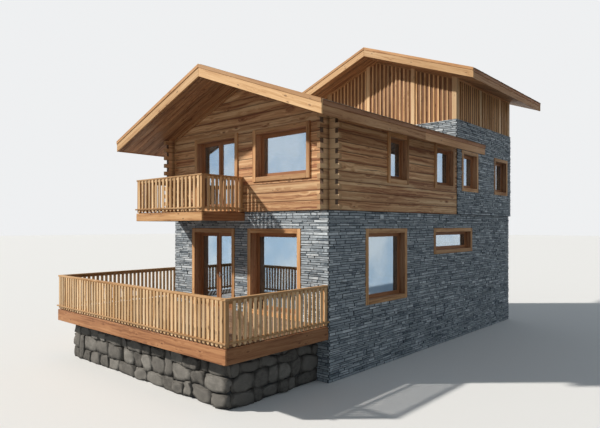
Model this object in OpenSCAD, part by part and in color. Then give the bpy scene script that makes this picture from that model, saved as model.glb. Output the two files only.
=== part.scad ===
// Alpine chalet on a stone ground floor, with a log storey in front,
// a taller stone and board block behind, a wide terrace and a balcony.
// Millimetres, +Z up, front of the house towards -Y.
// X = 0 is the ridge line, Y = 0 the middle of the house, Z = 0 its lowest stones.

/* [House] */
// Width of the house over its stone walls
house_w = 6700; // [5600:10:9000]
// Depth of the front block, from its stone face to the rear block
front_depth = 7230; // [6100:10:9000]
// Depth of the rear block
rear_depth = 5170; // [4300:10:7000]
// Thickness of the stone walls
stone_t = 450; // [375:5:540]
// Thickness of the slab that the stone walls stand on
slab_t = 200; // [160:5:300]

/* [Heights] */
// Floor level of the ground floor and the terrace
ground_z = 1480; // [1250:10:1780]
// Top of the ground floor's stone walls, where the logs begin
log_z = 4460; // [4300:10:5200]
// Top of the rear block's stone walls, where the boards begin
board_z = 7900; // [7600:10:8600]
// Height of the attic's boarded side walls, up to the soffit
attic_h = 1504; // [1260:2:1800]

/* [Logs] */
// Height of one course of logs
course_h = 258; // [215:1:310]
// Courses of logs under the eaves
courses = 10; // [9:1:12]
// Thickness of the logs
log_t = 200; // [165:5:240]
// How far the logs stand out past the stone
log_proud = 80; // [50:5:100]
// Length of the log heads past the front wall
head_front = 360; // [300:5:430]
// Length of the log heads past the side walls
head_side = 315; // [260:5:380]
// Length of the half-height step at the end of each head
head_step = 115; // [90:5:140]
// Thickness of the log heads, which are hewn thinner than the logs
head_t = 105; // [90:5:125]
// Chamfer along the edges of a log
log_chamfer = 12; // [8:1:16]
// How far the front soffit cuts down into the top course at the side walls
soffit_cut = 122; // [0:2:200]

/* [Roofs] */
// Rise of both roofs for each millimetre of run
pitch = 0.378; // [0.3:0.001:0.46]
// Roof overhang past the side walls
eave_over = 1080; // [900:10:1300]
// Overhang of the front roof past the front wall
front_over = 1597; // [1330:1:1900]
// Overhang of the front roof's eaves past the rear block's front corner
cross_over = 145; // [100:5:200]
// Overhang of the rear roof past its gables
rear_over = 870; // [720:10:1050]
// Height of the bargeboards, measured plumb
barge_h = 347; // [340:1:420]
// Height of the roof build-up, measured plumb
roof_h = 285; // [240:5:320]
// Depth of the covering laid on the roof build-up, measured plumb
cover_h = 45; // [35:1:60]
// Thickness of bargeboards and fascias
barge_t = 45; // [35:1:60]
// Height of the upper of an eave's two fascia boards
upper_band_h = 130; // [100:1:160]
// How far the lower fascia board is set back
band_step = 18; // [12:1:24]
// Height of the strip along the top of the bargeboards
verge_h = 100; // [80:1:120]
// Thickness of that strip
verge_t = 18; // [12:1:24]
// Height of the frieze boards under the soffit
frieze_h = 90; // [70:1:110]
// Thickness of the frieze boards
frieze_t = 35; // [30:1:45]

/* [Boarding] */
// Thickness of the boarded attic walls
board_wall_t = 150; // [125:5:180]
// How far the boards stand back from the stone below
board_back = 40; // [35:1:60]
// Spacing of the cover strips
batten_pitch = 180; // [150:5:216]
// Width of a cover strip
batten_w = 60; // [45:1:75]
// Thickness of a cover strip
batten_t = 25; // [18:1:28]
// Width of the posts in the boarding
post_w = 160; // [130:5:200]
// Width of the corner posts
corner_post_w = 180; // [150:5:215]
// How far the posts stand out from the boards
post_proud = 40; // [30:1:50]
// Middle of the gable's first post, right of the ridge
gable_post_x = 1650; // [1400:10:1900]
// Spacing of the gable's posts
gable_post_pitch = 2050; // [1780:10:2300]
// First post of the attic's side, behind the rear block's front
side_post_y = 2110; // [1900:10:2500]
// Spacing of the attic's side posts
side_post_pitch = 1970; // [1640:10:2300]

/* [Openings] */
// Width of the boards round windows and doors
casing_w = 135; // [115:1:160]
// How far those boards stand out from the wall
casing_proud = 40; // [30:1:50]
// Thickness of the boards lining an opening
lining_t = 45; // [38:1:54]
// Depth of the sashes behind the wall face, at the front and the back of the stone walls
recess = 230; // [190:5:240]
// Depth of the sashes behind the wall face in both side walls
side_recess = 160; // [130:5:190]
// Depth of the sashes behind the wall face in the front log wall
log_recess = 200; // [165:5:215]
// Thickness of sashes and door leaves
sash_t = 60; // [50:1:72]
// Width of the sash bars
sash_w = 95; // [80:1:114]
// Width of the stiles of a door leaf
stile_w = 95; // [80:1:115]
// Thickness of the glass
glass_t = 24; // [20:1:28]
// Width of the terrace door and of the window beside it, over the boards
terrace_w = 2105; // [1760:5:2250]
// Height of both above the ground floor
terrace_h = 2490; // [2080:10:2600]
// Stone between the boards of the terrace door and the window
terrace_gap = 590; // [490:10:900]
// Width of the log storey's front window, over the boards
log_window_w = 2200; // [1830:10:2400]
// Middle of that window, right of the ridge
log_window_x = 1700; // [1500:10:1900]
// Height of the log storey's windows, over the boards
log_window_h = 1500; // [1250:10:1700]
// Top of the upper windows, below the front soffit at the side walls
head_drop = 98; // [70:1:120]
// Width of the balcony door, over the boards
balcony_door_w = 2090; // [1740:10:2300]
// Middle of the balcony door, left of the ridge
balcony_door_x = 1110; // [1000:10:1300]
// Height of the balcony door, over the boards
balcony_door_h = 2340; // [2000:10:2450]
// Width of the first side window in the logs, over the boards
side_window_w = 1180; // [980:10:1350]
// Distance of that window from the front
side_window_y = 2650; // [2200:10:3100]
// Width of the log window next to the rear block, over the boards
corner_window_w = 1480; // [1230:10:1550]
// Logs between that window and the rear block
corner_window_in = 200; // [100:5:240]
// Width of the upper windows in the rear block, over the boards
rear_window_w = 1430; // [1190:10:1550]
// Distance of the first of them from the rear block's front
rear_window_in = 380; // [320:5:460]
// Distance of the last of them from the back
rear_window_out = 350; // [300:5:420]
// Middle of the back's upper windows, left and right of the ridge
back_window_x = 1700; // [1500:10:1900]
// Width of the large side window on the ground floor, over the boards
big_window_w = 2230; // [1860:10:2500]
// Height of that window, over the boards
big_window_h = 2150; // [1800:10:2400]
// Distance of that window from the front
big_window_y = 1620; // [1350:10:1900]
// Width of the strip window on the ground floor, over the boards
strip_window_w = 3040; // [2530:10:3400]
// Height of the strip window, over the boards
strip_window_h = 880; // [740:10:1050]
// How far the strip window starts in front of the rear block
strip_window_in = 1610; // [1340:10:1750]

/* [Terrace] */
// Depth of the terrace in front of the house
deck_depth = 3430; // [2860:10:4120]
// Width of the terrace's arm on the left side
deck_arm = 1330; // [1110:10:1600]
// How far that arm runs on past the large side window
deck_past_window = 400; // [150:10:1000]
// Thickness of the floor boards
plank_t = 40; // [32:1:48]
// Height of the joists under the boards
joist_h = 200; // [170:5:240]
// Spacing of the joists
joist_pitch = 600; // [500:10:720]
// Height of the outer fascia boards
fascia_h = 335; // [280:5:400]
// Thickness of the fascia boards
fascia_t = 50; // [40:1:60]
// Set back of the rubble stone plinth behind the fascia
plinth_back = 420; // [350:10:500]
// Thickness of the rubble stone plinth
plinth_t = 450; // [375:5:540]

// How far the fascias stop below the floor boards' top
fascia_drop = 20; // [10:1:35]

/* [Balcony] */
// How far the balcony runs on to the right past its door
balcony_past_door = 235; // [195:5:400]
// Distance of the balcony's left end from the left wall
balcony_in = 160; // [100:10:300]
// Depth of the balcony
balcony_depth = 1610; // [1340:10:1900]
// Height of the balcony's fascia boards
balcony_fascia_h = 245; // [230:5:290]

/* [Railings] */
// Height of the handrail above the floor
rail_h = 1040; // [900:10:1200]
// Width of the handrail
cap_w = 120; // [100:5:144]
// Height of the handrail board
cap_h = 50; // [40:1:60]
// Spacing of the pickets
picket_pitch = 150; // [125:1:180]
// Spacing of the pickets along the balcony's front
balcony_pitch = 190; // [160:1:230]
// Distance of the railing posts from the outer face of the fascia
rail_in = 20; // [10:1:35]
// Width of a picket
picket_w = 88; // [70:1:100]
// Thickness of a picket
picket_t = 28; // [22:1:34]
// Side of the square railing posts
rail_post = 100; // [85:1:120]
// Height of the outer bottom rail
low_rail_h = 42; // [34:1:56]
// Height of the outer bottom rail above the floor
low_rail_z = 78; // [60:1:95]
// Height of the pickets' feet above the floor
foot_z = 10; // [5:1:20]

/* [Hidden] */
$fn = 32;

hw = house_w / 2;
front_y = -(front_depth + rear_depth) / 2;
cross_y = front_y + front_depth;
back_y = cross_y + rear_depth;
log_face_y = front_y - log_proud;
log_face_x = hw + log_proud;
upper_z = log_z + plank_t;
front_half = hw + eave_over;
soffit_drop = cover_h + roof_h;
front_soffit_z = log_z + courses * course_h - soffit_cut;
front_ridge_z = front_soffit_z + soffit_drop + pitch * log_face_x;
rear_ridge_z = board_z + attic_h + soffit_drop + pitch * log_face_x;
front_end_y = front_y - front_over;
rear_start_y = cross_y - rear_over;
rear_end_y = back_y + rear_over;
hole_inset = casing_w - lining_t;
past = 50;
// Open joint where fascias meet bargeboards and where friezes meet a soffit
trim_joint = 1;
// How far a piece is let into the one that carries it
let_in = 5;

stone_grey = "slategray";
log_brown = "peru";
larch = "burlywood";
dark_larch = "sienna";

// A box between two corners
module block(a, b) { translate(a) cube(b - a); }

// Plumb profile of one roof slope, extruded from y0 to y1
module slope(y0, y1, ridge, top, bottom, half) {
    translate([0, y1, 0]) rotate([90, 0, 0]) linear_extrude(y1 - y0)
        polygon([[0, ridge - top], [half, ridge - top - pitch * half],
            [half, ridge - bottom - pitch * half], [0, ridge - bottom]]);
}

// Everything under a roof's soffit, less a drop, between y0 and y1
module under_roof(y0, y1, ridge, drop = 0) {
    low = ridge - soffit_drop - drop;
    wide = front_half + past;
    translate([0, y1, 0]) rotate([90, 0, 0]) linear_extrude(y1 - y0)
        polygon([[-wide, -past], [wide, -past], [wide, low - pitch * wide],
            [0, low], [-wide, low - pitch * wide]]);
}

// Both sides of the ridge line
module both_sides() {
    children();
    mirror([1, 0, 0]) children();
}

// Hole for a window or door, seen from the front: middle, bottom, size over the boards
module front_hole(x, z, w, h, y0, y1) {
    block([x - w / 2 + hole_inset, y0, z + hole_inset],
        [x + w / 2 - hole_inset, y1, z + h - hole_inset]);
}

// The same hole in a side wall: start along Y, bottom, size over the boards
module side_hole(y, z, w, h, x0, x1) {
    block([x0, y + hole_inset, z + hole_inset], [x1, y + w - hole_inset, z + h - hole_inset]);
}

// A rectangular ring facing -Y, from y0 to y1, with its outer size and bar width
module ring(w, h, bar, y0, y1) {
    difference() {
        block([-w / 2, y0, 0], [w / 2, y1, h]);
        block([-w / 2 + bar, y0 - past, bar], [w / 2 - bar, y1 + past, h - bar]);
    }
}

// Boards, lining and sash of a window that faces -Y, its wall face at y = 0
module window_frame(w, h, deep, leaves = 1) {
    clear_w = w - 2 * casing_w;
    clear_h = h - 2 * casing_w;
    ring(w, h, casing_w, -casing_proud, 0);
    translate([0, 0, hole_inset])
        ring(w - 2 * hole_inset, h - 2 * hole_inset, lining_t, -casing_proud, deep + sash_t);
    translate([0, 0, casing_w]) {
        ring(clear_w, clear_h, sash_w, deep, deep + sash_t);
        if (leaves == 2) block([-sash_w, deep, 0], [sash_w, deep + sash_t, clear_h]);
    }
}

// The glass of such a window, between its sash bars
module window_pane(w, h, deep, leaves = 1) {
    clear_w = w - 2 * casing_w - 2 * sash_w;
    clear_h = h - 2 * casing_w - 2 * sash_w;
    mid = deep + sash_t / 2;
    z = casing_w + sash_w;
    if (leaves == 1)
        block([-clear_w / 2, mid - glass_t / 2, z], [clear_w / 2, mid + glass_t / 2, z + clear_h]);
    else for (s = [-1, 1]) {
        x = s * (clear_w / 2 + sash_w) / 2;
        half = (clear_w / 2 - sash_w) / 2;
        block([x - half, mid - glass_t / 2, z], [x + half, mid + glass_t / 2, z + clear_h]);
    }
}

// Places of the windows: [along the wall, bottom, width, height]
terrace_x = (terrace_gap + terrace_w) / 2;
upper_sill_z = front_soffit_z - head_drop - log_window_h;
ground_head_z = ground_z + terrace_h;
big_window = [front_y + big_window_y, ground_head_z - big_window_h, big_window_w, big_window_h];
strip_window = [cross_y - strip_window_in, ground_head_z - strip_window_h,
    strip_window_w, strip_window_h];
log_windows = [[front_y + side_window_y, upper_sill_z, side_window_w, log_window_h],
    [cross_y - corner_window_in - corner_window_w, upper_sill_z, corner_window_w, log_window_h]];
rear_windows = [[cross_y + rear_window_in, upper_sill_z, rear_window_w, log_window_h],
    [back_y - rear_window_out - rear_window_w, upper_sill_z, rear_window_w, log_window_h]];
back_windows = [[-back_window_x, upper_sill_z, rear_window_w, log_window_h],
    [back_window_x, upper_sill_z, rear_window_w, log_window_h],
    [0, ground_head_z - strip_window_h, strip_window_w, strip_window_h]];

// Put a child that faces -Y on the right wall, its face at x, its middle at y
module on_right(x, y, z) { translate([x, y, z]) rotate([0, 0, 90]) children(); }

module right_openings(glass = false) {
    for (w = [big_window, strip_window]) on_right(hw, w[0] + w[2] / 2, w[1])
        if (glass) window_pane(w[2], w[3], side_recess);
        else window_frame(w[2], w[3], side_recess);
    for (w = concat(rear_windows, log_windows)) on_right(log_face_x, w[0] + w[2] / 2, w[1])
        if (glass) window_pane(w[2], w[3], side_recess);
        else window_frame(w[2], w[3], side_recess);
}

module foundation_slab() {
    color("gray") block([-hw, front_y, 0], [hw, back_y, slab_t]);
}

// Stone walls of the ground floor
module front_wall_base() {
    color(stone_grey)
        block([-hw, front_y, slab_t], [hw, front_y + stone_t, ground_z - plank_t]);
}

module front_pier(x0, x1) {
    color(stone_grey) block([x0, front_y, ground_z - plank_t],
        [x1, front_y + stone_t, ground_head_z - hole_inset]);
}

terrace_hole = terrace_w / 2 - hole_inset;
module front_wall_piers() {
    front_pier(-hw, -terrace_x - terrace_hole);
    front_pier(-terrace_x + terrace_hole, terrace_x - terrace_hole);
    front_pier(terrace_x + terrace_hole, hw);
}
module front_wall_lintel() {
    color(stone_grey) block([-hw, front_y, ground_head_z - hole_inset],
        [hw, front_y + stone_t, log_z]);
}

// Side wall: one storey along the front block, two along the rear block,
// the upper one in the plane of the logs
module right_stone_wall() {
    inner = hw - stone_t;
    color(stone_grey) difference() {
        union() {
            block([inner, front_y + stone_t, slab_t], [hw, back_y, log_z]);
            block([inner, cross_y, log_z], [log_face_x, back_y, board_z]);
        }
        for (w = concat([big_window, strip_window], rear_windows))
            side_hole(w[0], w[1], w[2], w[3], inner - past, log_face_x + past);
    }
}
module left_stone_wall() { mirror([1, 0, 0]) right_stone_wall(); }

module rear_stone_wall() {
    inner = hw - stone_t;
    color(stone_grey) difference() {
        block([-inner, back_y - stone_t, slab_t], [inner, back_y, board_z]);
        for (w = back_windows)
            front_hole(w[0], w[1], w[2], w[3], back_y - stone_t - past, back_y + past);
    }
}

// The rear block's front wall above the front block's ceiling, carried from side to side
cross_beam_h = 278;
cross_wall_z = front_soffit_z - cross_beam_h;
module cross_wall() {
    color(stone_grey)
        block([-hw + stone_t, cross_y, cross_wall_z], [hw - stone_t, cross_y + stone_t, board_z]);
}

module ground_floor() {
    color(larch) block([-hw + stone_t, front_y + stone_t, ground_z - slab_t],
        [hw - stone_t, back_y - stone_t, ground_z]);
}

// Floor plate between the stone walls, with boards that run to the log walls
module upper_floor() {
    inner_x = log_face_x - log_t;
    color(larch) {
        block([-hw + stone_t, front_y + stone_t, log_z - slab_t],
            [hw - stone_t, back_y - stone_t, log_z + plank_t]);
        block([-inner_x, log_face_y + log_t, log_z], [inner_x, cross_y, log_z + plank_t]);
    }
}

// One log along X, its outer face at y = 0 and its underside at z = 0
module log_bar(len) {
    c = log_chamfer;
    rotate([90, 0, 90]) linear_extrude(len)
        polygon([[c, 0], [log_t - c, 0], [log_t, c], [log_t, course_h - c],
            [log_t - c, course_h], [c, course_h], [0, course_h - c], [0, c]]);
}

// Front wall's log: its thinner head ends in the lower half of the course only,
// and it is lapped over the lower halves of the side walls' logs
module front_log() {
    reach = log_face_x + head_side;
    half = course_h / 2;
    difference() {
        translate([-reach, 0, 0]) log_bar(2 * reach);
        both_sides() {
            block([log_face_x - log_t, -past, -past], [log_face_x, log_t + past, half]);
            block([log_face_x, head_t, -past], [reach + past, log_t + past, course_h + past]);
            block([reach - head_step, -past, half],
                [reach + past, log_t + past, course_h + past]);
        }
    }
}

// Side wall's log, along +Y from its head: lapped under the front wall's logs
module side_log() {
    reach = cross_y - log_face_y + head_front;
    half = course_h / 2;
    difference() {
        translate([0, reach, 0]) rotate([0, 0, -90]) log_bar(reach);
        block([-past, -past, half], [log_t + past, head_step, course_h + past]);
        block([-past, -past, -past], [log_t - head_t, head_front, course_h + past]);
        block([-past, head_front, half], [log_t + past, head_front + log_t, course_h + past]);
    }
}

module front_log_wall() {
    color(log_brown) difference() {
        intersection() {
            for (i = [0:courses - 1])
                translate([0, log_face_y, log_z + i * course_h]) front_log();
            under_roof(front_end_y, cross_y, front_ridge_z);
        }
        log_front_holes();
    }
}

module log_front_holes() {
    front_hole(log_window_x, upper_sill_z, log_window_w, log_window_h,
        log_face_y - past, log_face_y + log_t + past);
    front_hole(-balcony_door_x, upper_z, balcony_door_w, balcony_door_h,
        log_face_y - past, log_face_y + log_t + past);
}

// Logs of the gable, up to the underside of the roof
module front_gable_logs() {
    top = front_ridge_z - soffit_drop;
    first = log_z + courses * course_h;
    rows = ceil((top - first) / course_h);
    color(log_brown) difference() {
        intersection() {
            for (i = [0:rows - 1])
                translate([-hw, log_face_y, first + i * course_h]) log_bar(house_w);
            under_roof(front_end_y, cross_y, front_ridge_z);
        }
        log_front_holes();
    }
}

module right_log_wall() {
    color(log_brown) difference() {
        intersection() {
            for (i = [0:courses - 1])
                translate([log_face_x - log_t, log_face_y - head_front, log_z + i * course_h])
                    side_log();
            under_roof(front_end_y, cross_y, front_ridge_z);
        }
        for (w = log_windows)
            side_hole(w[0], w[1], w[2], w[3], log_face_x - log_t - past, log_face_x + past);
    }
}
module left_log_wall() { mirror([1, 0, 0]) right_log_wall(); }

// Boarded attic of the rear block: boards with cover strips between posts
board_x = log_face_x - board_back;
board_front_y = cross_y + board_back;
board_back_y = back_y - board_back;
board_mid_y = (board_front_y + board_back_y) / 2;
front_strips = floor((board_x - corner_post_w - batten_w / 2) / batten_pitch);
side_strips = floor((board_back_y - board_mid_y - board_wall_t - batten_w / 2) / batten_pitch);
gable_posts = [for (i = [0:2]) gable_post_x - i * gable_post_pitch];
side_posts = [for (i = [0:1]) cross_y + side_post_y + i * side_post_pitch];
post_clear = (post_w + batten_w) / 2;

// True where a cover strip at a place would run into a post
function at_post(place, posts) = len([for (p = posts) if (abs(place - p) < post_clear) 1]) > 0;

module gable_boards() {
    corner = board_x - board_wall_t;
    intersection() {
        union() {
            block([-corner, board_front_y, board_z],
                [corner, board_front_y + board_wall_t, rear_ridge_z]);
            intersection() {
                for (i = [-front_strips:front_strips]) if (!at_post(i * batten_pitch, gable_posts))
                    block([i * batten_pitch - batten_w / 2, board_front_y - batten_t, board_z],
                        [i * batten_pitch + batten_w / 2, board_front_y + let_in, rear_ridge_z]);
                under_roof(cross_y - past, back_y, rear_ridge_z, frieze_h);
            }
        }
        under_roof(cross_y - past, back_y, rear_ridge_z);
    }
}
module attic_front_boards() { color(larch) gable_boards(); }
module attic_rear_boards() { color(larch) front_and_back(1) gable_boards(); }

// The same at the front of the rear block (0) or mirrored at its back (1)
module front_and_back(far) {
    translate([0, far * (cross_y + back_y), 0]) mirror([0, far, 0]) children();
}

attic_frieze_z = rear_ridge_z - soffit_drop - pitch * (board_x + frieze_t) - frieze_h;
module attic_side_boards() {
    color(larch) both_sides() intersection() {
        union() {
            block([board_x - board_wall_t, board_front_y + board_wall_t, board_z],
                [board_x, board_back_y - board_wall_t, rear_ridge_z]);
            for (i = [-side_strips:side_strips])
                if (!at_post(board_mid_y + i * batten_pitch, side_posts))
                    translate([0, board_mid_y + i * batten_pitch, 0])
                        block([board_x - let_in, -batten_w / 2, board_z],
                            [board_x + batten_t, batten_w / 2, attic_frieze_z]);
        }
        under_roof(cross_y, back_y, rear_ridge_z);
    }
}

// Posts of the boarded attic, at its corners and between the boards
module attic_posts() {
    face_y = board_front_y - post_proud;
    color(larch) {
        for (far = [0, 1]) front_and_back(far) intersection() {
            union() {
                both_sides() {
                    block([board_x - board_wall_t, board_front_y, board_z],
                        [board_x + post_proud, board_front_y + board_wall_t, rear_ridge_z]);
                    block([board_x + post_proud - corner_post_w, face_y, board_z],
                        [board_x + post_proud, board_front_y, rear_ridge_z]);
                }
                for (x = gable_posts)
                    block([x - post_w / 2, face_y, board_z],
                        [x + post_w / 2, board_front_y, rear_ridge_z]);
            }
            under_roof(face_y - past, back_y, rear_ridge_z);
        }
        both_sides() for (y = side_posts)
            block([board_x, y - post_w / 2, board_z],
                [board_x + post_proud, y + post_w / 2, attic_frieze_z]);
    }
}

// Roofs: two slopes that meet in a plumb joint at the ridge
module front_roof_right() {
    color(dark_larch) difference() {
        slope(front_end_y + barge_t, cross_y + cross_over, front_ridge_z,
            cover_h, soffit_drop, front_half - barge_t);
        block([-past, cross_y, 0], [log_face_x, cross_y + cross_over + past, rear_ridge_z]);
    }
}
module front_roof_left() { mirror([1, 0, 0]) front_roof_right(); }

module rear_roof_right() {
    color(dark_larch) slope(rear_start_y + barge_t, rear_end_y - barge_t, rear_ridge_z,
        cover_h, soffit_drop, front_half - barge_t);
}
module rear_roof_left() { mirror([1, 0, 0]) rear_roof_right(); }

// Two fascia boards along an eave, the lower one set back
module eave_fascia(y0, y1, ridge) {
    top = ridge - pitch * front_half;
    x = front_half - barge_t;
    start = y0 + trim_joint;
    end = y1 - trim_joint;
    block([x, start, top - upper_band_h], [front_half, end, top - cover_h / 2]);
    block([x, start, top - barge_h], [front_half - band_step, end, top - upper_band_h]);
}

// Bargeboards with a strip along their top, their outer face at y
module bargeboard(y, ridge) {
    slope(y, y + barge_t, ridge, 0, barge_h, front_half);
    slope(y - verge_t, y, ridge, 0, verge_h, front_half);
}

module front_roof_trim() {
    color(larch) both_sides() {
        bargeboard(front_end_y, front_ridge_z);
        eave_fascia(front_end_y + barge_t, cross_y + cross_over, front_ridge_z);
        slope(log_face_y - frieze_t, log_face_y, front_ridge_z,
            soffit_drop + trim_joint, soffit_drop + frieze_h, log_face_x - log_t);
    }
}

// Frieze between the posts of the rear block's gable
module gable_frieze() {
    face_y = board_front_y - frieze_t;
    difference() {
        both_sides() slope(face_y, board_front_y, rear_ridge_z, soffit_drop + trim_joint,
            soffit_drop + frieze_h, board_x + post_proud - corner_post_w);
        for (x = gable_posts)
            block([x - post_w / 2, face_y - past, board_z],
                [x + post_w / 2, board_front_y + past, rear_ridge_z]);
    }
}

module rear_roof_trim() {
    color(larch) {
        for (far = [0, 1]) front_and_back(far) {
            both_sides() bargeboard(rear_start_y, rear_ridge_z);
            gable_frieze();
        }
        both_sides() {
            eave_fascia(rear_start_y + barge_t, rear_end_y - barge_t, rear_ridge_z);
            intersection() {
                block([board_x, board_front_y + board_wall_t, attic_frieze_z],
                    [board_x + frieze_t, board_back_y - board_wall_t, rear_ridge_z]);
                under_roof(cross_y, back_y, rear_ridge_z, trim_joint);
            }
        }
    }
}

// Windows
module front_window_frames() {
    color(larch) {
        translate([terrace_x, front_y, ground_z])
            window_frame(terrace_w, terrace_h, recess);
        translate([log_window_x, log_face_y, upper_sill_z])
            window_frame(log_window_w, log_window_h, log_recess);
        translate([-balcony_door_x, log_face_y, upper_z])
            window_frame(balcony_door_w, balcony_door_h, log_recess, 2);
    }
}
module side_window_frames() { color(larch) both_sides() right_openings(); }

module back_openings(glass = false) {
    for (w = back_windows)
        translate([w[0], back_y, w[1]]) mirror([0, 1, 0])
            if (glass) window_pane(w[2], w[3], recess); else window_frame(w[2], w[3], recess);
}
module rear_window_frames() { color(larch) back_openings(); }

module window_glass() {
    color("lightblue") {
        translate([terrace_x, front_y, ground_z])
            window_pane(terrace_w, terrace_h, recess);
        translate([log_window_x, log_face_y, upper_sill_z])
            window_pane(log_window_w, log_window_h, log_recess);
        translate([-balcony_door_x, log_face_y, upper_z])
            window_pane(balcony_door_w, balcony_door_h, log_recess, 2);
        both_sides() right_openings(true);
        back_openings(true);
    }
}

// Terrace door: jambs, head and sill in one frame, and two leaves that open inwards
leaf_gap = 8;
meeting_gap = 12;
clear_w = terrace_w - 2 * casing_w;
leaf_w = (clear_w - 2 * leaf_gap - meeting_gap) / 2;
leaf_z = ground_z + leaf_gap;
leaf_h = terrace_h - casing_w - 2 * leaf_gap;
door_y = front_y + recess;
stop_w = 22;
stop_t = 18;
barrel_r = 11;
barrel_h = 45;
pin_r = 6;
pin_clear = 0.05;
barrel_gap = 0.5;
flap_w = 35;
flap_t = 3;
web_t = 4;
web_clear = 1;
hinge_y = door_y + sash_t + barrel_r + flap_t;
hinge_x = clear_w / 2 - leaf_gap / 2;
hinge_in = 220;
hinge_heights = [hinge_in, leaf_h / 2, leaf_h - hinge_in - barrel_h];

module door_jamb() {
    top = terrace_h - casing_w;
    block([clear_w / 2, -casing_proud, 0], [clear_w / 2 + casing_w, 0, top]);
    block([clear_w / 2, -casing_proud, 0], [clear_w / 2 + lining_t, recess + sash_t, top]);
    block([clear_w / 2 - stop_w, recess - leaf_gap - stop_t, 0],
        [clear_w / 2, recess - leaf_gap, top]);
}

module terrace_door_frame() {
    low = terrace_h - casing_w;
    lining = clear_w / 2 + lining_t;
    color(larch) translate([-terrace_x, front_y, ground_z]) {
        both_sides() door_jamb();
        block([-terrace_w / 2, -casing_proud, low], [terrace_w / 2, 0, terrace_h]);
        block([-lining, -casing_proud, low], [lining, recess + sash_t, low + lining_t]);
        block([-clear_w / 2, recess - leaf_gap - stop_t, low - stop_w],
            [clear_w / 2, recess - leaf_gap, low + lining_t]);
        block([-lining, 0, -plank_t], [lining, stone_t, 0]);
    }
}

// Pins and lower barrels on the jambs
module terrace_door_hinges() {
    color("gray") translate([-terrace_x, 0, leaf_z]) both_sides() for (z = hinge_heights) {
        translate([hinge_x, hinge_y, z]) cylinder(r = barrel_r, h = barrel_h);
        translate([hinge_x, hinge_y, z]) cylinder(r = pin_r, h = 2 * barrel_h - let_in);
        block([hinge_x, door_y + sash_t, z],
            [clear_w / 2 + flap_w, door_y + sash_t + flap_t, z + barrel_h]);
        block([hinge_x - web_t / 2, door_y + sash_t, z],
            [hinge_x + web_t / 2, hinge_y, z + barrel_h]);
    }
}

// A leaf with its hinge edge towards +X; the other leaf is its mirror image
leaf_x1 = clear_w / 2 - leaf_gap;
leaf_x0 = leaf_x1 - leaf_w;
rail_low = 180;
module leaf_frame() {
    difference() {
        block([leaf_x0, door_y, leaf_z], [leaf_x1, door_y + sash_t, leaf_z + leaf_h]);
        block([leaf_x0 + stile_w, door_y - past, leaf_z + rail_low],
            [leaf_x1 - stile_w, door_y + sash_t + past, leaf_z + leaf_h - stile_w]);
    }
}

module leaf_glass() {
    mid = door_y + sash_t / 2;
    block([leaf_x0 + stile_w, mid - glass_t / 2, leaf_z + rail_low],
        [leaf_x1 - stile_w, mid + glass_t / 2, leaf_z + leaf_h - stile_w]);
}

// Upper barrels, and a lever handle on each face
handle_z = 1000;
plate_w = 36;
plate_t = 6;
plate_h = 160;
lever_r = 9;
lever_out = 38;
lever_len = 130;
// The spindle is thinner than the lever, which runs on a little past it
spindle_r = 7;
lever_back = 12;
module leaf_fittings(handle = true) {
    for (z = hinge_heights) translate([0, 0, leaf_z + z + barrel_h + barrel_gap]) {
        difference() {
            union() {
                translate([hinge_x, hinge_y, 0]) cylinder(r = barrel_r, h = barrel_h);
                block([leaf_x1 - flap_w, door_y + sash_t, 0],
                    [hinge_x - pin_r - web_clear, door_y + sash_t + flap_t, barrel_h]);
                block([hinge_x - pin_r - web_t, door_y + sash_t, 0],
                    [hinge_x - pin_r - web_clear, hinge_y, barrel_h]);
            }
            translate([hinge_x, hinge_y, -1])
                cylinder(r = pin_r + pin_clear, h = barrel_h + 2);
        }
    }
    x = leaf_x0 + stile_w / 2;
    if (handle) for (face = [0, 1])
        translate([x, door_y + face * sash_t, leaf_z + handle_z]) mirror([0, 1 - face, 0]) {
            block([-plate_w / 2, 0, -plate_h / 2], [plate_w / 2, plate_t, plate_h / 2]);
            rotate([-90, 0, 0]) cylinder(r = spindle_r, h = lever_out);
            translate([-lever_back, lever_out, 0]) rotate([0, 90, 0])
                cylinder(r = lever_r, h = lever_len);
        }
}

module right_leaf() { translate([-terrace_x, 0, 0]) children(); }
module left_leaf() { translate([-terrace_x, 0, 0]) mirror([1, 0, 0]) children(); }
module right_leaf_frame() { color(larch) right_leaf() leaf_frame(); }
module right_leaf_glass() { color("lightblue") right_leaf() leaf_glass(); }
module right_leaf_fittings() { color("gray") right_leaf() leaf_fittings(); }
module left_leaf_frame() { color(larch) left_leaf() leaf_frame(); }
module left_leaf_glass() { color("lightblue") left_leaf() leaf_glass(); }
module left_leaf_fittings() { color("gray") left_leaf() leaf_fittings(false); }

// Terrace
deck_front_y = front_y - deck_depth;
deck_left_x = -hw - deck_arm;
deck_end_y = big_window[0] + big_window_w + deck_past_window;
frame_top = ground_z - plank_t;
frame_low = frame_top - joist_h;

// Outline of the terrace, drawn in by a margin on its outer sides
module deck_outline(m) {
    polygon([[deck_left_x + m, deck_front_y + m], [hw - m, deck_front_y + m], [hw - m, front_y],
        [-hw, front_y], [-hw, deck_end_y - m], [deck_left_x + m, deck_end_y - m]]);
}

module deck_boards() {
    color(larch) translate([0, 0, frame_top]) linear_extrude(plank_t) deck_outline(fascia_t);
}

// Fascia boards round the terrace's outer sides
module deck_fascia() {
    color(dark_larch) translate([0, 0, ground_z - fascia_drop - fascia_h])
        linear_extrude(fascia_h) difference() {
            deck_outline(0);
            deck_outline(fascia_t);
        }
}

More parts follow.
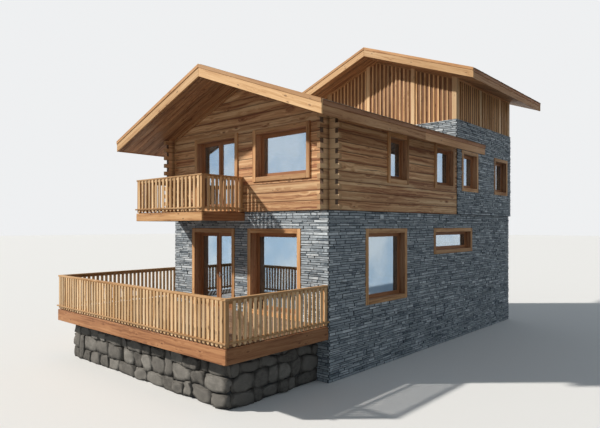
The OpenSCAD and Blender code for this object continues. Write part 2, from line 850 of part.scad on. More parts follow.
joist_t = 80;
module deck_joists() {
    x0 = deck_left_x + fascia_t;
    x1 = hw - fascia_t;
    y0 = deck_front_y + fascia_t;
    end = deck_end_y - fascia_t;
    across = floor((x1 - x0 - joist_t) / joist_pitch);
    along = floor((end - front_y - joist_t) / joist_pitch) + 1;
    step = (x1 - x0 - joist_t) / across;
    color(dark_larch) {
        for (i = [0:across])
            block([x0 + i * step, y0, frame_low], [x0 + i * step + joist_t, front_y, frame_top]);
        for (i = [1:along]) {
            y = front_y + i * (end - front_y - joist_t) / along;
            block([x0, y, frame_low], [-hw, y + joist_t, frame_top]);
        }
    }
}

// Rubble stone walls under the terrace
module deck_plinth() {
    color("dimgray") linear_extrude(frame_low) difference() {
        deck_outline(plinth_back);
        deck_outline(plinth_back + plinth_t);
    }
}

// A railing along +X with its outside towards -Y, its floor at z = 0.
// Its posts stand on the floor, and its pickets hang in front with pointed feet.
cap_over = 20;
low_rail_t = 27;
back_rail_t = 35;
back_rail_h = 70;
back_rail_low = 10;
foot_h = 35;
module picket(h) {
    rotate([90, 0, 0]) linear_extrude(picket_t)
        polygon([[-picket_w / 2, foot_h], [-picket_w / 6, 0], [picket_w / 6, 0],
            [picket_w / 2, foot_h], [picket_w / 2, h], [-picket_w / 2, h]]);
}

// A corner end has a post, and its rails reach round the corner
module railing(len, corner0, corner1, post1 = true, spacing = picket_pitch) {
    n = max(2, round((len - rail_post) / spacing));
    step = (len - rail_post) / n;
    top = rail_h - cap_h;
    out = picket_t + low_rail_t - let_in;
    cap0 = corner0 ? -cap_over : 0;
    cap1 = corner1 ? len + cap_over : len;
    low0 = corner0 ? -out : 0;
    low1 = corner1 ? len + out : len;
    if (corner0) block([0, 0, 0], [rail_post, rail_post, top]);
    if (post1) block([len - rail_post, 0, 0], [len, rail_post, top]);
    block([cap0, -cap_over, top], [cap1, cap_w - cap_over, rail_h]);
    block([0, 0, top - back_rail_h], [len, back_rail_t, top]);
    block([0, 0, low_rail_z - back_rail_low],
        [len, back_rail_t, low_rail_z - back_rail_low + back_rail_h]);
    block([low0, -out, low_rail_z], [low1, let_in - picket_t, low_rail_z + low_rail_h]);
    if (corner0) block([low0, -out, low_rail_z], [0, let_in, low_rail_z + low_rail_h]);
    if (corner1) block([len, -out, low_rail_z], [low1, let_in, low_rail_z + low_rail_h]);
    for (i = [0:n - 1])
        translate([rail_post / 2 + (i + 0.5) * step, let_in, foot_z]) picket(top - foot_z);
}

module deck_front_railing() {
    color(larch) translate([deck_left_x + rail_in, deck_front_y + rail_in, ground_z])
        railing(hw - deck_left_x - 2 * rail_in, true, true);
}
module deck_side_railings() {
    y = deck_front_y + rail_in + rail_post;
    color(larch) {
        translate([hw - rail_in, y, ground_z]) rotate([0, 0, 90])
            railing(front_y - y, false, false);
        translate([deck_left_x + rail_in, deck_end_y - rail_in, ground_z])
            rotate([0, 0, -90]) railing(deck_end_y - rail_in - y, true, false, false);
    }
}
module deck_end_railing() {
    len = deck_arm - rail_in - rail_post;
    color(larch) translate([-hw - len, deck_end_y - rail_in, ground_z])
        mirror([0, 1, 0]) railing(len, false, false);
}

// Balcony
balcony_x0 = -hw + balcony_in;
balcony_x1 = -balcony_door_x + balcony_door_w / 2 + balcony_past_door;
balcony_y = front_y - balcony_depth;
balcony_joist_h = 160;
balcony_bays = 5;
module balcony_floor() {
    joist_z = log_z - plank_t - balcony_joist_h;
    color(larch) block([balcony_x0 + fascia_t, balcony_y + fascia_t, log_z - plank_t],
        [balcony_x1 - fascia_t, front_y, log_z]);
    color(dark_larch) for (i = [0:balcony_bays]) {
        x = balcony_x0 + fascia_t
            + i * (balcony_x1 - balcony_x0 - 2 * fascia_t - joist_t) / balcony_bays;
        block([x, balcony_y + fascia_t, joist_z],
            [x + joist_t, front_y, log_z - plank_t + let_in]);
    }
}
module balcony_fascia() {
    top = log_z - fascia_drop;
    color(dark_larch) difference() {
        block([balcony_x0, balcony_y, top - balcony_fascia_h], [balcony_x1, front_y, top]);
        block([balcony_x0 + fascia_t, balcony_y + fascia_t, 0],
            [balcony_x1 - fascia_t, front_y + past, board_z]);
    }
}
module balcony_front_railing() {
    color(larch) translate([balcony_x0 + rail_in, balcony_y + rail_in, log_z])
        railing(balcony_x1 - balcony_x0 - 2 * rail_in, true, true, true, balcony_pitch);
}
module balcony_side_railings() {
    y = balcony_y + rail_in + rail_post;
    color(larch) {
        translate([balcony_x1 - rail_in, y, log_z]) rotate([0, 0, 90])
            railing(log_face_y - y, false, false);
        translate([balcony_x0 + rail_in, y, log_z]) mirror([1, 0, 0]) rotate([0, 0, 90])
            railing(log_face_y - y, false, false);
    }
}

foundation_slab();
front_wall_base();
front_wall_piers();
front_wall_lintel();
right_stone_wall();
left_stone_wall();
rear_stone_wall();
cross_wall();
ground_floor();
upper_floor();
front_log_wall();
front_gable_logs();
right_log_wall();
left_log_wall();
attic_front_boards();
attic_rear_boards();
attic_side_boards();
attic_posts();
front_roof_right();
front_roof_left();
front_roof_trim();
rear_roof_right();
rear_roof_left();
rear_roof_trim();
front_window_frames();
side_window_frames();
rear_window_frames();
window_glass();
terrace_door_frame();
terrace_door_hinges();
left_leaf_frame();
left_leaf_glass();
left_leaf_fittings();
right_leaf_frame();
right_leaf_glass();
right_leaf_fittings();
deck_plinth();
deck_fascia();
deck_joists();
deck_boards();
deck_front_railing();
deck_side_railings();
deck_end_railing();
balcony_floor();
balcony_fascia();
balcony_front_railing();
balcony_side_railings();
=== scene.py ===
# %% [markdown]
# # Alpine chalet
# The CAD model brings the walls, logs, roofs, glass and doors at their true size. This script gives
# them the looks of split slate, oiled larch and glass, and adds what a mason and a carpenter would
# lay piece by piece: ledges of stone, shingles, floor boards, window boards and pickets.
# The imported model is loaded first, because every piece is placed by it.

# %% Load the frame
import bpy, bmesh, math, random
import mathutils
from mathutils import Matrix, Vector


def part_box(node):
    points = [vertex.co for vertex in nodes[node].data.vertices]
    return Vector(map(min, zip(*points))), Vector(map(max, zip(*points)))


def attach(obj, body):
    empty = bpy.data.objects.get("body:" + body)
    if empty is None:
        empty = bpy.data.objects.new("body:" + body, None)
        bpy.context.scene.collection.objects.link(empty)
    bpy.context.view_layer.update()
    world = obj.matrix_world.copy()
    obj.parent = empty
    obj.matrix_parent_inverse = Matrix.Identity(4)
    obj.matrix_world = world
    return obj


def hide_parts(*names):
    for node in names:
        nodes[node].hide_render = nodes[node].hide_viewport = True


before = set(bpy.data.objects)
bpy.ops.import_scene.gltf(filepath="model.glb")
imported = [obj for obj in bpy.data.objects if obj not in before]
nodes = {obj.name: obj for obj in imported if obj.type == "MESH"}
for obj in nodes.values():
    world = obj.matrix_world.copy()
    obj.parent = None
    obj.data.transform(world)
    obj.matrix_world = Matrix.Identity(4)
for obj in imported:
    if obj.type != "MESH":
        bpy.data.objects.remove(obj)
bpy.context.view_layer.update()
link = bpy.context.scene.collection.objects.link

# %% [markdown]
# ## Networks
# The light, the floor and every finish are small networks of nodes. A wire is a node's output that
# can stand in a formula: each sign in the formula adds the Math node that works it out, so that a
# finish reads like arithmetic. The other helpers add the noises and mixes that the finishes share.

# %% Wires and formulas
class Wire:
    """A node's output that can stand in a formula."""
    def __init__(self, socket):
        self.socket, self.tree = socket, socket.id_data

    def __add__(self, other):
        return maths("ADD", self, other)

    def __sub__(self, other):
        return maths("SUBTRACT", self, other)

    def __rsub__(self, other):
        return maths("SUBTRACT", other, self)

    def __mul__(self, other):
        return maths("MULTIPLY", self, other)

    def __truediv__(self, other):
        return maths("DIVIDE", self, other)

def plug(value, socket):
    """Leads a wire into a socket, or sets the socket to a plain value."""
    if isinstance(value, Wire):
        value.tree.links.new(value.socket, socket)
    else:
        socket.default_value = value

def add(tree, kind, inputs=None, out=0, **settings):
    """Adds a node and gives one of its outputs as a wire, or a list of wires for several."""
    made = tree.nodes.new("ShaderNode" + kind)
    for key, value in settings.items():
        setattr(made, key, value)
    for key, value in (inputs or {}).items():
        plug(value, made.inputs[key])
    return [Wire(made.outputs[key]) for key in out] if isinstance(out, tuple) else Wire(made.outputs[out])

def maths(operation, *values, clamp=False):
    tree = next(value.tree for value in values if isinstance(value, Wire))
    return add(tree, "Math", dict(enumerate(values)), operation=operation, use_clamp=clamp)

print("a wire can be added, taken away, multiplied and divided")

# %% Colours, ramps and noises
def rgb(red, green, blue):
    return (red, green, blue, 1.0)

def blend(amount, a, b, kind="MIX"):
    """a where the amount is 0, b where it is 1."""
    tree = next(value.tree for value in (amount, a, b) if isinstance(value, Wire))
    return add(tree, "Mix", {0: amount, 6: a, 7: b}, out=2, data_type="RGBA", blend_type=kind)

def ramp(value, low, high):
    """0 at low and 1 at high, smooth between, and level beyond. Low may be the larger."""
    return add(value.tree, "MapRange", {"Value": value, "From Min": low, "From Max": high},
               interpolation_type="SMOOTHSTEP")

def stretch(place, scales):
    return add(place.tree, "VectorMath", {0: place, 1: scales}, operation="MULTIPLY")

def noise(place, scale, detail=2.0, rough=0.5):
    """Noise from 0 to 1, at one scale or at three scales along X, Y and Z."""
    if isinstance(scale, tuple):
        place, scale = stretch(place, scale), 1.0
    return add(place.tree, "TexNoise", {"Vector": place, "Scale": scale, "Detail": detail, "Roughness": rough})

def chance(seed):
    """A random number from 0 to 1 that changes wherever the seed does."""
    return add(seed.tree, "TexWhiteNoise", {"W": seed}, noise_dimensions="1D")

def axes(vector):
    return add(vector.tree, "SeparateXYZ", {0: vector}, out=("X", "Y", "Z"))

def bump(height, strength, distance):
    return add(height.tree, "Bump", {"Height": height, "Strength": strength, "Distance": distance})

print("helpers for colour and relief ready")

# %% Groups and materials
def new_group(name, inputs, outputs):
    """A node group: its tree, its inputs as wires, and its outputs as sockets to lead wires into."""
    tree = bpy.data.node_groups.new(name, "ShaderNodeTree")
    for label, kind, value in inputs:
        socket = tree.interface.new_socket(label, in_out="INPUT", socket_type="NodeSocket" + kind)
        if value is not None:
            socket.default_value = value
    for label, kind in outputs:
        tree.interface.new_socket(label, in_out="OUTPUT", socket_type="NodeSocket" + kind)
    start, end = tree.nodes.new("NodeGroupInput"), tree.nodes.new("NodeGroupOutput")
    return tree, {label: Wire(start.outputs[label]) for label, kind, value in inputs}, end.inputs

def new_material(name):
    """A material, the tree of its network, and the inputs of its shader."""
    made = bpy.data.materials.new(name)
    made.use_nodes = True
    return made, made.node_tree, made.node_tree.nodes["Principled BSDF"].inputs

def clothe(skin, looks):
    """Fills inputs of a shader, each with a wire or with a plain value that the shader keeps."""
    for key, value in looks.items():
        plug(value, skin[key])

def seen_directly(tree):
    """1 for what the camera sees, also in metal and glass, and 0 for light that falls on things."""
    eye, mirror, pane = add(tree, "LightPath", out=("Is Camera Ray", "Is Glossy Ray", "Is Transmission Ray"))
    return maths("MAXIMUM", maths("MAXIMUM", eye, mirror), pane)

print("helpers for materials ready")

# %% [markdown]
# ## Studio
# The camera stands low in front of the right corner and looks level, with its frame shifted a
# little upwards, so that plumb edges stay plumb. A level camera with a shift is what an
# architect's photographer uses. The numbers come from the vanishing points of the photograph.

# %% Camera
camera = bpy.data.objects.new("camera", bpy.data.cameras.new("camera"))
link(camera)
camera.location = (11.741, -16.655, 4.05)
camera.rotation_euler = (math.radians(90), 0, math.radians(41.914))
camera.data.lens = 31.24
camera.data.shift_y = 0.0197
camera.data.clip_end = 500
bpy.context.scene.camera = camera
print("camera at", tuple(camera.location))

# %% [markdown]
# One lamp stands for the sun: low, from the front left, so that the eaves and the balcony throw the
# slanting shadows of the photograph. The world fills the shade. The camera, and what glass
# reflects, see a pale backdrop instead of the fill light, which Light Path sorts out.

# %% Light and backdrop
sun = bpy.data.objects.new("sun", bpy.data.lights.new("sun", "SUN"))
link(sun)
sun.rotation_euler = Vector((1.08, 1.0, -1.03)).to_track_quat("-Z", "Y").to_euler()
sun.data.energy = 4.1
sun.data.angle = math.radians(2)
sun.data.color = (1.0, 0.95, 0.88)

world = bpy.data.worlds.new("studio")
bpy.context.scene.world = world
world.use_nodes = True
sky = world.node_tree
fill = sky.nodes["Background"]
fill.inputs["Color"].default_value = rgb(0.78, 0.895, 1.0)
fill.inputs["Strength"].default_value = 0.28
backdrop = add(sky, "Background", {"Color": rgb(0.86, 0.87, 0.88)})
chosen = add(sky, "MixShader", {0: seen_directly(sky), 1: Wire(fill.outputs[0]), 2: backdrop})
plug(chosen, sky.nodes["World Output"].inputs["Surface"])
bpy.context.scene.view_settings.view_transform = "Standard"
print("lamp", round(sun.data.energy, 2), "fill", round(fill.inputs["Strength"].default_value, 2))

# %% [markdown]
# The floor is a plain pale sheet, far larger than the house, so that its edge lies on the horizon.
# The camera sees it pale. What it throws back on the walls is that of darker ground, as round a
# real house, which keeps the shaded side as dark as in the photograph.

# %% Floor
sheet = bmesh.new()
bmesh.ops.create_grid(sheet, x_segments=1, y_segments=1, size=220)
floor_mesh = bpy.data.meshes.new("floor")
sheet.to_mesh(floor_mesh)
sheet.free()
floor = bpy.data.objects.new("floor", floor_mesh)
link(floor)
paper, tree, skin = new_material("floor_paper")
seen_paper, bounced_paper = rgb(0.84, 0.84, 0.83), rgb(0.245, 0.255, 0.26)
clothe(skin, {"Base Color": blend(seen_directly(tree), bounced_paper, seen_paper), "Roughness": 0.9})
floor_mesh.materials.append(paper)
print("floor laid")

# %% [markdown]
# ## Sizes
# These are the CAD part's own sizes in metres. The places of walls come from its boxes.

# %% Sizes
JETTY = 0.080                             # logs and upper walls stand out this far past the ground floor
LOG_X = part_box("right_stone_wall")[1].x   # face of the side logs and of the rear block's upper walls
HALF = LOG_X - JETTY                      # half the width of the ground floor
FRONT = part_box("front_wall_base")[0].y
LOG_Y = FRONT - JETTY
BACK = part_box("rear_stone_wall")[1].y
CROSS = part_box("cross_wall")[0].y         # front of the rear block
DECK_Z, LOG_Z, BOARD_Z = 1.48, 4.46, 7.90   # top of the terrace, foot of the logs and of the attic boards
COURSE = 0.258                            # height of a log
FRONT_RIDGE, REAR_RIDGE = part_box("front_roof_trim")[1].z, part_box("rear_roof_trim")[1].z
PITCH = 0.378                             # fall of the roofs for each metre out from the ridge
EAVE = 4.430                              # from the ridge out to the eave
SOFFIT, COVER = 0.330, 0.045              # soffit and roof deck below the line of the ridge
print("stone face", round(FRONT, 3), "rear block", round(CROSS, 3),
      "ridges", round(FRONT_RIDGE, 3), round(REAR_RIDGE, 3))

# %% [markdown]
# ## Finishes
# Larch has long darker and lighter streaks, a fine fibre, broad bands, and small dark knots that
# push the fibre aside. The group reads a place on the wood with X along the grain, so one recipe
# serves a log, a picket and a shingle. Knots are the cores of Voronoi cells: only cells whose core
# happens to lie in the face show one, which scatters them as a saw does. A squared log shows the
# same wood at a larger scale, with few and larger knots, and long thin drying checks.

# %% Groups: larch and log
WOOD_INPUTS = [("Place", "Vector", None), ("Tone", "Float", 0.5), ("Light", "Color", rgb(0.6, 0.4, 0.2)),
               ("Middle", "Color", rgb(0.5, 0.3, 0.15)), ("Dark", "Color", rgb(0.3, 0.15, 0.06)),
               ("Knots", "Float", 1.0), ("Contrast", "Float", 1.0)]
WOOD_OUTPUTS = [("Color", "Color"), ("Height", "Float"), ("Roughness", "Float")]

def wood_group(name, cells, knot, halo, drift, push, streak, fibre, band, bent_bands,
               level, tone, stain, rough, check=None):
    """Streak, fibre and band are a noise each, with its weight last. Knot, halo and check have ramps."""
    tree, put, out = new_group(name, WOOD_INPUTS, WOOD_OUTPUTS)
    place = put["Place"]
    core = add(tree, "TexVoronoi", {"Vector": stretch(place, cells), "Scale": 1.0}, out="Distance")
    knots = ramp(core, *knot) * put["Knots"]
    pushed = ramp(core, *halo) * put["Knots"] * push[0] + noise(place, drift) * push[1]
    aside = add(tree, "CombineXYZ", {"Y": pushed, "Z": pushed})
    moved = add(tree, "VectorMath", {0: place, 1: aside}, operation="ADD")
    streaks, fibres = noise(moved, *streak[:-1]), noise(moved, *fibre[:-1])
    bands = noise(moved if bent_bands else place, *band[:-1])
    spread = (streaks - 0.5) * (put["Contrast"] * streak[-1])
    spread = spread + (bands - 0.5) * band[-1] + (fibres - 0.5) * fibre[-1]
    shade = maths("ADD", spread, level[0], clamp=True)
    colour = blend(ramp(shade, level[1], 0.5), put["Dark"], put["Middle"])
    colour = blend(ramp(shade, 0.45, 1.0), colour, put["Light"])
    bright = put["Tone"] * tone[0] + tone[1]
    grey = add(tree, "CombineColor", {"Red": bright, "Green": bright, "Blue": bright})
    colour = blend(1.0, colour, grey, "MULTIPLY")
    height = streaks * 0.6 + fibres * 0.4
    marks = knots
    if check:
        checks = ramp(noise(moved, *check[:-2]), *check[-2:])
        marks, height = maths("MAXIMUM", knots, checks), height - checks * 0.8
    plug(blend(marks * stain[0], colour, stain[1]), out["Color"])
    plug(height, out["Height"])
    plug(shade * rough[0] + rough[1], out["Roughness"])
    print(name, "has", len(tree.nodes), "nodes")
    return tree

board_grain = wood_group(
    "larch_grain", cells=(2.6, 6.0, 6.0), knot=(0.15, 0.09), halo=(0.42, 0.12),
    drift=(0.9, 3.0, 3.0), push=(0.035, 0.10), streak=((0.55, 17.0, 17.0), 4.0, 0.62, 3.0),
    fibre=((5.0, 170.0, 170.0), 3.0, 0.7, 0.55), band=((0.5, 1.7, 1.7), 1.0, 0.5, 0.9), bent_bands=False,
    level=(0.50, 0.0), tone=(0.42, 0.79), stain=(0.75, rgb(0.10, 0.035, 0.012)), rough=(-0.16, 0.66))
log_grain = wood_group(
    "log_grain", cells=(1.5, 4.2, 4.2), knot=(0.11, 0.07), halo=(0.40, 0.08),
    drift=(0.6, 1.6, 1.6), push=(0.05, 0.20), streak=((0.36, 22.0, 22.0), 3.0, 0.5, 1.3),
    fibre=((3.5, 120.0, 120.0), 2.0, 0.6, 0.60), band=((0.17, 7.5, 7.5), 1.0, 0.4, 1.6), bent_bands=True,
    level=(0.52, 0.05), tone=(0.36, 0.80), stain=(0.70, rgb(0.11, 0.042, 0.016)), rough=(-0.14, 0.68),
    check=((0.55, 34.0, 34.0), 1.0, 0.3, 0.70, 0.76))

# %% [markdown]
# Split slate is nearly one grey within a stone and very different from stone to stone, with thin
# cleft layers along it and a sprinkle of pale grains. Rubble shows less of the layers.

# %% Group: split stone
stone_grain, put, out = new_group(
    "split_stone",
    [("Place", "Vector", None), ("Tone", "Float", 0.5), ("Light", "Color", rgb(0.5, 0.5, 0.5)),
     ("Middle", "Color", rgb(0.3, 0.3, 0.3)), ("Dark", "Color", rgb(0.1, 0.1, 0.1)), ("Layers", "Float", 1.0)],
    [("Color", "Color"), ("Height", "Float")])
cleft = noise(put["Place"], (5.0, 9.0, 60.0), 4.0, 0.65)
grain = noise(put["Place"], 55.0, 4.0, 0.7)
cloud = noise(put["Place"], 7.0, 3.0, 0.6)
layers = (cleft - 0.5) * put["Layers"]
shade = put["Tone"] + (cloud - 0.5) * 0.60 + layers + (grain - 0.5) * 0.45
tint = blend(ramp(shade, 0.0, 0.5), put["Dark"], put["Middle"])
plug(blend(ramp(shade, 0.5, 1.05), tint, put["Light"]), out["Color"])
plug(grain * 0.4 + cloud * 0.25 + layers * 0.6, out["Height"])
print("split_stone has", len(stone_grain.nodes), "nodes")

# %% [markdown]
# A larch material reads the place from the board's own grain coordinates, which its maker stores in
# the mesh, so that every board is cut from another part of the tree. Boards in the sun are bleached
# to honey, boards under the eaves stay red-brown, and the terrace is grey from rain and darker still,
# as painted shade seen between the pickets.

# %% Larch for boards
def wood_finish(skin, place, tone, colours, knots, contrast, relief=0.5, shine=0.3, recipe=board_grain):
    """Sets relief and sheen from the grain, and gives its colour for the material to work on."""
    light, middle, dark = [rgb(*colour) for colour in colours]
    colour, height, rough = add(
        place.tree, "Group", {"Place": place, "Tone": tone, "Light": light, "Middle": middle, "Dark": dark,
                              "Knots": knots, "Contrast": contrast},
        out=("Color", "Height", "Roughness"), node_tree=recipe)
    clothe(skin, {"Roughness": rough, "Normal": bump(height, relief, 0.004), "Specular IOR Level": shine})
    return colour

def attribute(tree, name, out="Fac"):
    return add(tree, "Attribute", out=out, attribute_name=name)

def board_larch(name, colours, *looks):
    made, tree, skin = new_material(name)
    place, tone = attribute(tree, "grain", "Vector"), attribute(tree, "tone")
    plug(wood_finish(skin, place, tone, colours, *looks), skin["Base Color"])
    return made

# Slot, light, middle and dark colours, knots, contrast and, where they differ, relief and shine.
LARCHES = {
    "casing": ("frame_larch", ((0.73, 0.43, 0.21), (0.59, 0.315, 0.138), (0.36, 0.165, 0.065)), 0.5, 0.9),
    # The reveal is a darker copy of the casing's larch: painted shade inside the opening.
    "reveal": ("frame_larch", ((0.52, 0.275, 0.14), (0.41, 0.205, 0.10), (0.22, 0.10, 0.048)), 0.4, 0.9),
    "sash": ("frame_larch", ((0.45, 0.215, 0.10), (0.355, 0.155, 0.066), (0.20, 0.082, 0.032)), 0.2, 0.7),
    "barge": ("light_larch", ((0.73, 0.47, 0.24), (0.62, 0.37, 0.17), (0.42, 0.21, 0.08)), 0.8, 0.7),
    "eave": ("light_larch", ((0.6, 0.34, 0.165), (0.5, 0.26, 0.115), (0.32, 0.145, 0.06)), 0.7, 0.8),
    "verge": ("light_larch", ((0.62, 0.35, 0.155), (0.52, 0.27, 0.11), (0.34, 0.15, 0.055)), 0.5, 0.8),
    "band": ("light_larch", ((0.50, 0.255, 0.13), (0.41, 0.19, 0.088), (0.25, 0.10, 0.042)), 0.5, 0.8),
    "soffit": ("roof_panels", ((0.5, 0.29, 0.15), (0.38, 0.2, 0.1), (0.21, 0.098, 0.045)), 0.8, 1.1),
    "picket": ("rail_larch", ((0.86, 0.63, 0.385), (0.72, 0.475, 0.25), (0.46, 0.26, 0.105)), 0.8, 0.9),
    "rail": ("rail_larch", ((0.66, 0.425, 0.225), (0.53, 0.31, 0.148), (0.37, 0.19, 0.08)), 0.6, 0.8, 0.5, 0.12),
    "fascia": ("fascia_larch", ((0.72, 0.43, 0.205), (0.61, 0.33, 0.14), (0.38, 0.175, 0.066)), 0.9, 0.9),
    "skirt": ("fascia_larch", ((0.46, 0.225, 0.10), (0.36, 0.16, 0.068), (0.20, 0.08, 0.032)), 0.9, 0.9),
    # The terrace boards' dark grey-brown is partly weathering and partly painted shade seen between the pickets.
    "deck": ("deck_larch", ((0.33, 0.215, 0.135), (0.245, 0.15, 0.09), (0.14, 0.08, 0.045)), 0.8, 1.0, 0.6, 0.1),
    "attic": ("attic_boards", ((0.34, 0.165, 0.072), (0.25, 0.112, 0.045), (0.13, 0.052, 0.02)), 0.8, 1.0),
    "post": ("light_larch", ((0.86, 0.62, 0.36), (0.76, 0.50, 0.27), (0.54, 0.32, 0.14)), 0.5, 0.7),
    "strip": ("attic_boards", ((0.82, 0.54, 0.29), (0.7, 0.42, 0.2), (0.48, 0.26, 0.1)), 0.6, 0.8),
    "shingle": ("roof_panels", ((0.42, 0.33, 0.25), (0.30, 0.22, 0.16), (0.16, 0.11, 0.08)), 0.1, 1.2, 0.8)}
coats = {name: (board_larch(name + "_larch", *looks), slot) for name, (slot, *looks) in LARCHES.items()}
print(len(coats), "board larches")

# %% [markdown]
# The logs are CAD solids, so their place comes from Object coordinates, shifted at random for each
# course. A course is darker towards its underside and its top, as painted shade of a rounded log, and
# its seams are dark, partly with dirt and partly with painted shade. The heads past the corner are
# made paler with painted light, and the rings show at their sawn ends, which are found by the mesh's
# own normal along the log. Painted shade darkens the notches of the heads and, on the side, the
# corner behind them.

# %% Log material
LOG_COLOURS = ((0.86, 0.57, 0.31), (0.60, 0.32, 0.150), (0.29, 0.110, 0.048))
# The first line's colours paint shade on a course's edges and dirt with shade in its seams; the second line's
# paint light on the heads and shade in their notches.
COURSE_SHADE_COLOUR, SEAM = rgb(0.24, 0.10, 0.045), rgb(0.06, 0.026, 0.012)
HEAD_LIGHT_COLOUR, NOTCH_SHADE_COLOUR = rgb(0.84, 0.62, 0.38), rgb(0.040, 0.018, 0.009)
RING_LIGHT, RING_DARK, END_CHECK = rgb(0.60, 0.37, 0.19), rgb(0.40, 0.22, 0.10), rgb(0.20, 0.10, 0.05)

def sawn_end(here, middle_z, off):
    """Rings round the middle of a log's end, with drying checks across them."""
    reach = maths("SQRT", maths("POWER", middle_z, 2.0) + maths("POWER", off, 2.0))
    rings = maths("SINE", (reach + noise(here, 9.0) * 0.012) * 900.0)
    sawn = blend(rings * 0.25 + 0.5, RING_LIGHT, RING_DARK)
    return blend(ramp(noise(here, 26.0, 3.0, 0.7), 0.62, 0.72) * 0.6, sawn, END_CHECK)

def log_larch(name, along, wall_face, head_light_base, notch_at):
    """wall_face is how far the wall lies off the middle, notch_at where the heads' notches begin."""
    made, tree, skin = new_material(name)
    here, normal = add(tree, "TexCoord", out=("Object", "Normal"))
    (x, y, z), (facing_x, facing_y, facing_z) = axes(here), axes(normal)
    run, depth, face = (x, y, facing_x) if along == "X" else (y, x, facing_y)
    level = (z - LOG_Z) / COURSE
    course, height, side = maths("FLOOR", level), maths("FRACT", level), maths("SIGN", depth)
    shift = chance(side * 31.7 + course) * 40.0
    tone = chance(side * 17.3 + (course + 0.5))
    place = add(tree, "CombineXYZ", {"X": run + shift, "Y": z + shift, "Z": depth})
    colour = wood_finish(skin, place, tone, LOG_COLOURS, 1.0, 1.25, 0.6, recipe=log_grain)
    # Painted shade: darker towards the course's underside and top, as on a rounded log.
    course_shade = ramp(height, 0.26, 0.0) + ramp(height, 0.88, 1.0) * 0.6
    colour = blend(course_shade * 0.55, colour, COURSE_SHADE_COLOUR)
    # The seam line is dark, partly with dirt in the groove and partly with painted shade.
    seam = ramp(maths("ABSOLUTE", height - 0.5), 0.455, 0.498) * 0.75
    colour = blend(seam, colour, SEAM)
    past_corner = maths("ABSOLUTE", run) - LOG_X if along == "X" else LOG_Y - run
    # Painted light: the heads past the corner are made paler.
    head_light = ramp(past_corner, 0.0, 0.02) * (tone * 0.45 + head_light_base)
    colour = blend(head_light * (1.0 - seam), colour, HEAD_LIGHT_COLOUR)
    off = maths("ABSOLUTE", depth) - (wall_face - 0.09)
    sawn = sawn_end(here, (height - 0.42) * COURSE, maths("ABSOLUTE", off))
    colour = blend(ramp(maths("ABSOLUTE", face), 0.72, 0.95), colour, sawn)
    # Painted shade in the notches of the heads.
    notch = maths("ABSOLUTE", past_corner - notch_at)
    notch_shade = ramp(notch, 0.014, 0.004) * ramp(height, 0.48, 0.52)
    if along == "Y":
        # Painted shade in the side wall's corner behind the heads.
        corner_shade = ramp(past_corner, 0.16, 0.02) * ramp(past_corner, 0.0, 0.01)
        notch_shade = maths("MAXIMUM", notch_shade, corner_shade * 0.65)
    plug(blend(notch_shade * 0.9, colour, NOTCH_SHADE_COLOUR), skin["Base Color"])
    return made

front_logs = log_larch("front_logs", "X", -LOG_Y, 0.45, 0.200)
side_logs = log_larch("side_logs", "Y", LOG_X, 0.15, 0.245)
print("logs ready")

# %% [markdown]
# Stone: blue-grey slate ledges for the house, browner and rougher rubble under the terrace. Each
# stone's mesh says where its split face ends, and the rim beyond is dark, partly with mortar and dirt
# and partly with painted shade of the joint.

# %% Ledges and rubble
def split_stone(name, colours, joint, clean, relief, rough, layers):
    made, tree, skin = new_material(name)
    light, middle, dark = [rgb(*colour) for colour in colours]
    place, tone, split = attribute(tree, "grain", "Vector"), attribute(tree, "tone"), attribute(tree, "split")
    colour, height = add(tree, "Group", {"Place": place, "Tone": tone, "Light": light, "Middle": middle,
                                         "Dark": dark, "Layers": layers},
                         out=("Color", "Height"), node_tree=stone_grain)
    # The rim past the split face is darkened, partly as dirt in the joint and partly as painted shade.
    rim_dirt_and_shade = blend(0.80, colour, rgb(*joint))
    clothe(skin, {"Base Color": blend(ramp(split, *clean), rim_dirt_and_shade, colour), "Roughness": rough,
                  "Normal": bump(height, 1.0, relief), "Specular IOR Level": 0.12})
    return made

slate = split_stone("slate", ((0.80, 0.85, 0.88), (0.40, 0.45, 0.49), (0.115, 0.145, 0.175)),
                    joint=(0.020, 0.028, 0.036), clean=(0.12, 0.80), relief=0.013, rough=0.60, layers=1.0)
rubble = split_stone("rubble", ((0.36, 0.34, 0.305), (0.20, 0.187, 0.168), (0.07, 0.065, 0.058)),
                     joint=(0.030, 0.029, 0.027), clean=(-0.3, 0.6), relief=0.030, rough=0.85, layers=0.3)
coats["slate"], coats["rubble"] = (slate, "slate_stone"), (rubble, "rubble_stone")
print("stone ready")

# %% [markdown]
# The wall behind the ledges shows only in the joints outside, where its near-black colour is painted
# shade deep in the joints, and is plastered inside. A wall's two sides are told apart by how far they
# are from the middle of the house.

# %% Walls behind the stone, and the footing
def wall_backing(name, plastered):
    made, tree, skin = new_material(name)
    here = add(tree, "TexCoord", out="Object")
    grit = noise(here, 60.0, 5.0, 0.7)
    # Near black: painted shade deep in the joints between the stones.
    colour = blend(grit, rgb(0.028, 0.031, 0.035), rgb(0.07, 0.075, 0.08))
    if plastered:
        half_wall = 0.2
        x, y, z = axes(here)
        deep = maths("MAXIMUM", y - (BACK - half_wall), (FRONT + half_wall) - y)
        outside = maths("MAXIMUM", maths("ABSOLUTE", x) - (HALF - half_wall), deep)
        plaster = blend(noise(here, 6.0, 4.0), rgb(0.62, 0.59, 0.54), rgb(0.70, 0.67, 0.62))
        colour = blend(maths("GREATER_THAN", outside, 0.0), plaster, colour)
    clothe(skin, {"Base Color": colour, "Roughness": 0.92, "Normal": bump(grit, 0.4, 0.004)})
    return made

backing = wall_backing("wall_backing", True)
plinth_backing = wall_backing("plinth_backing", False)

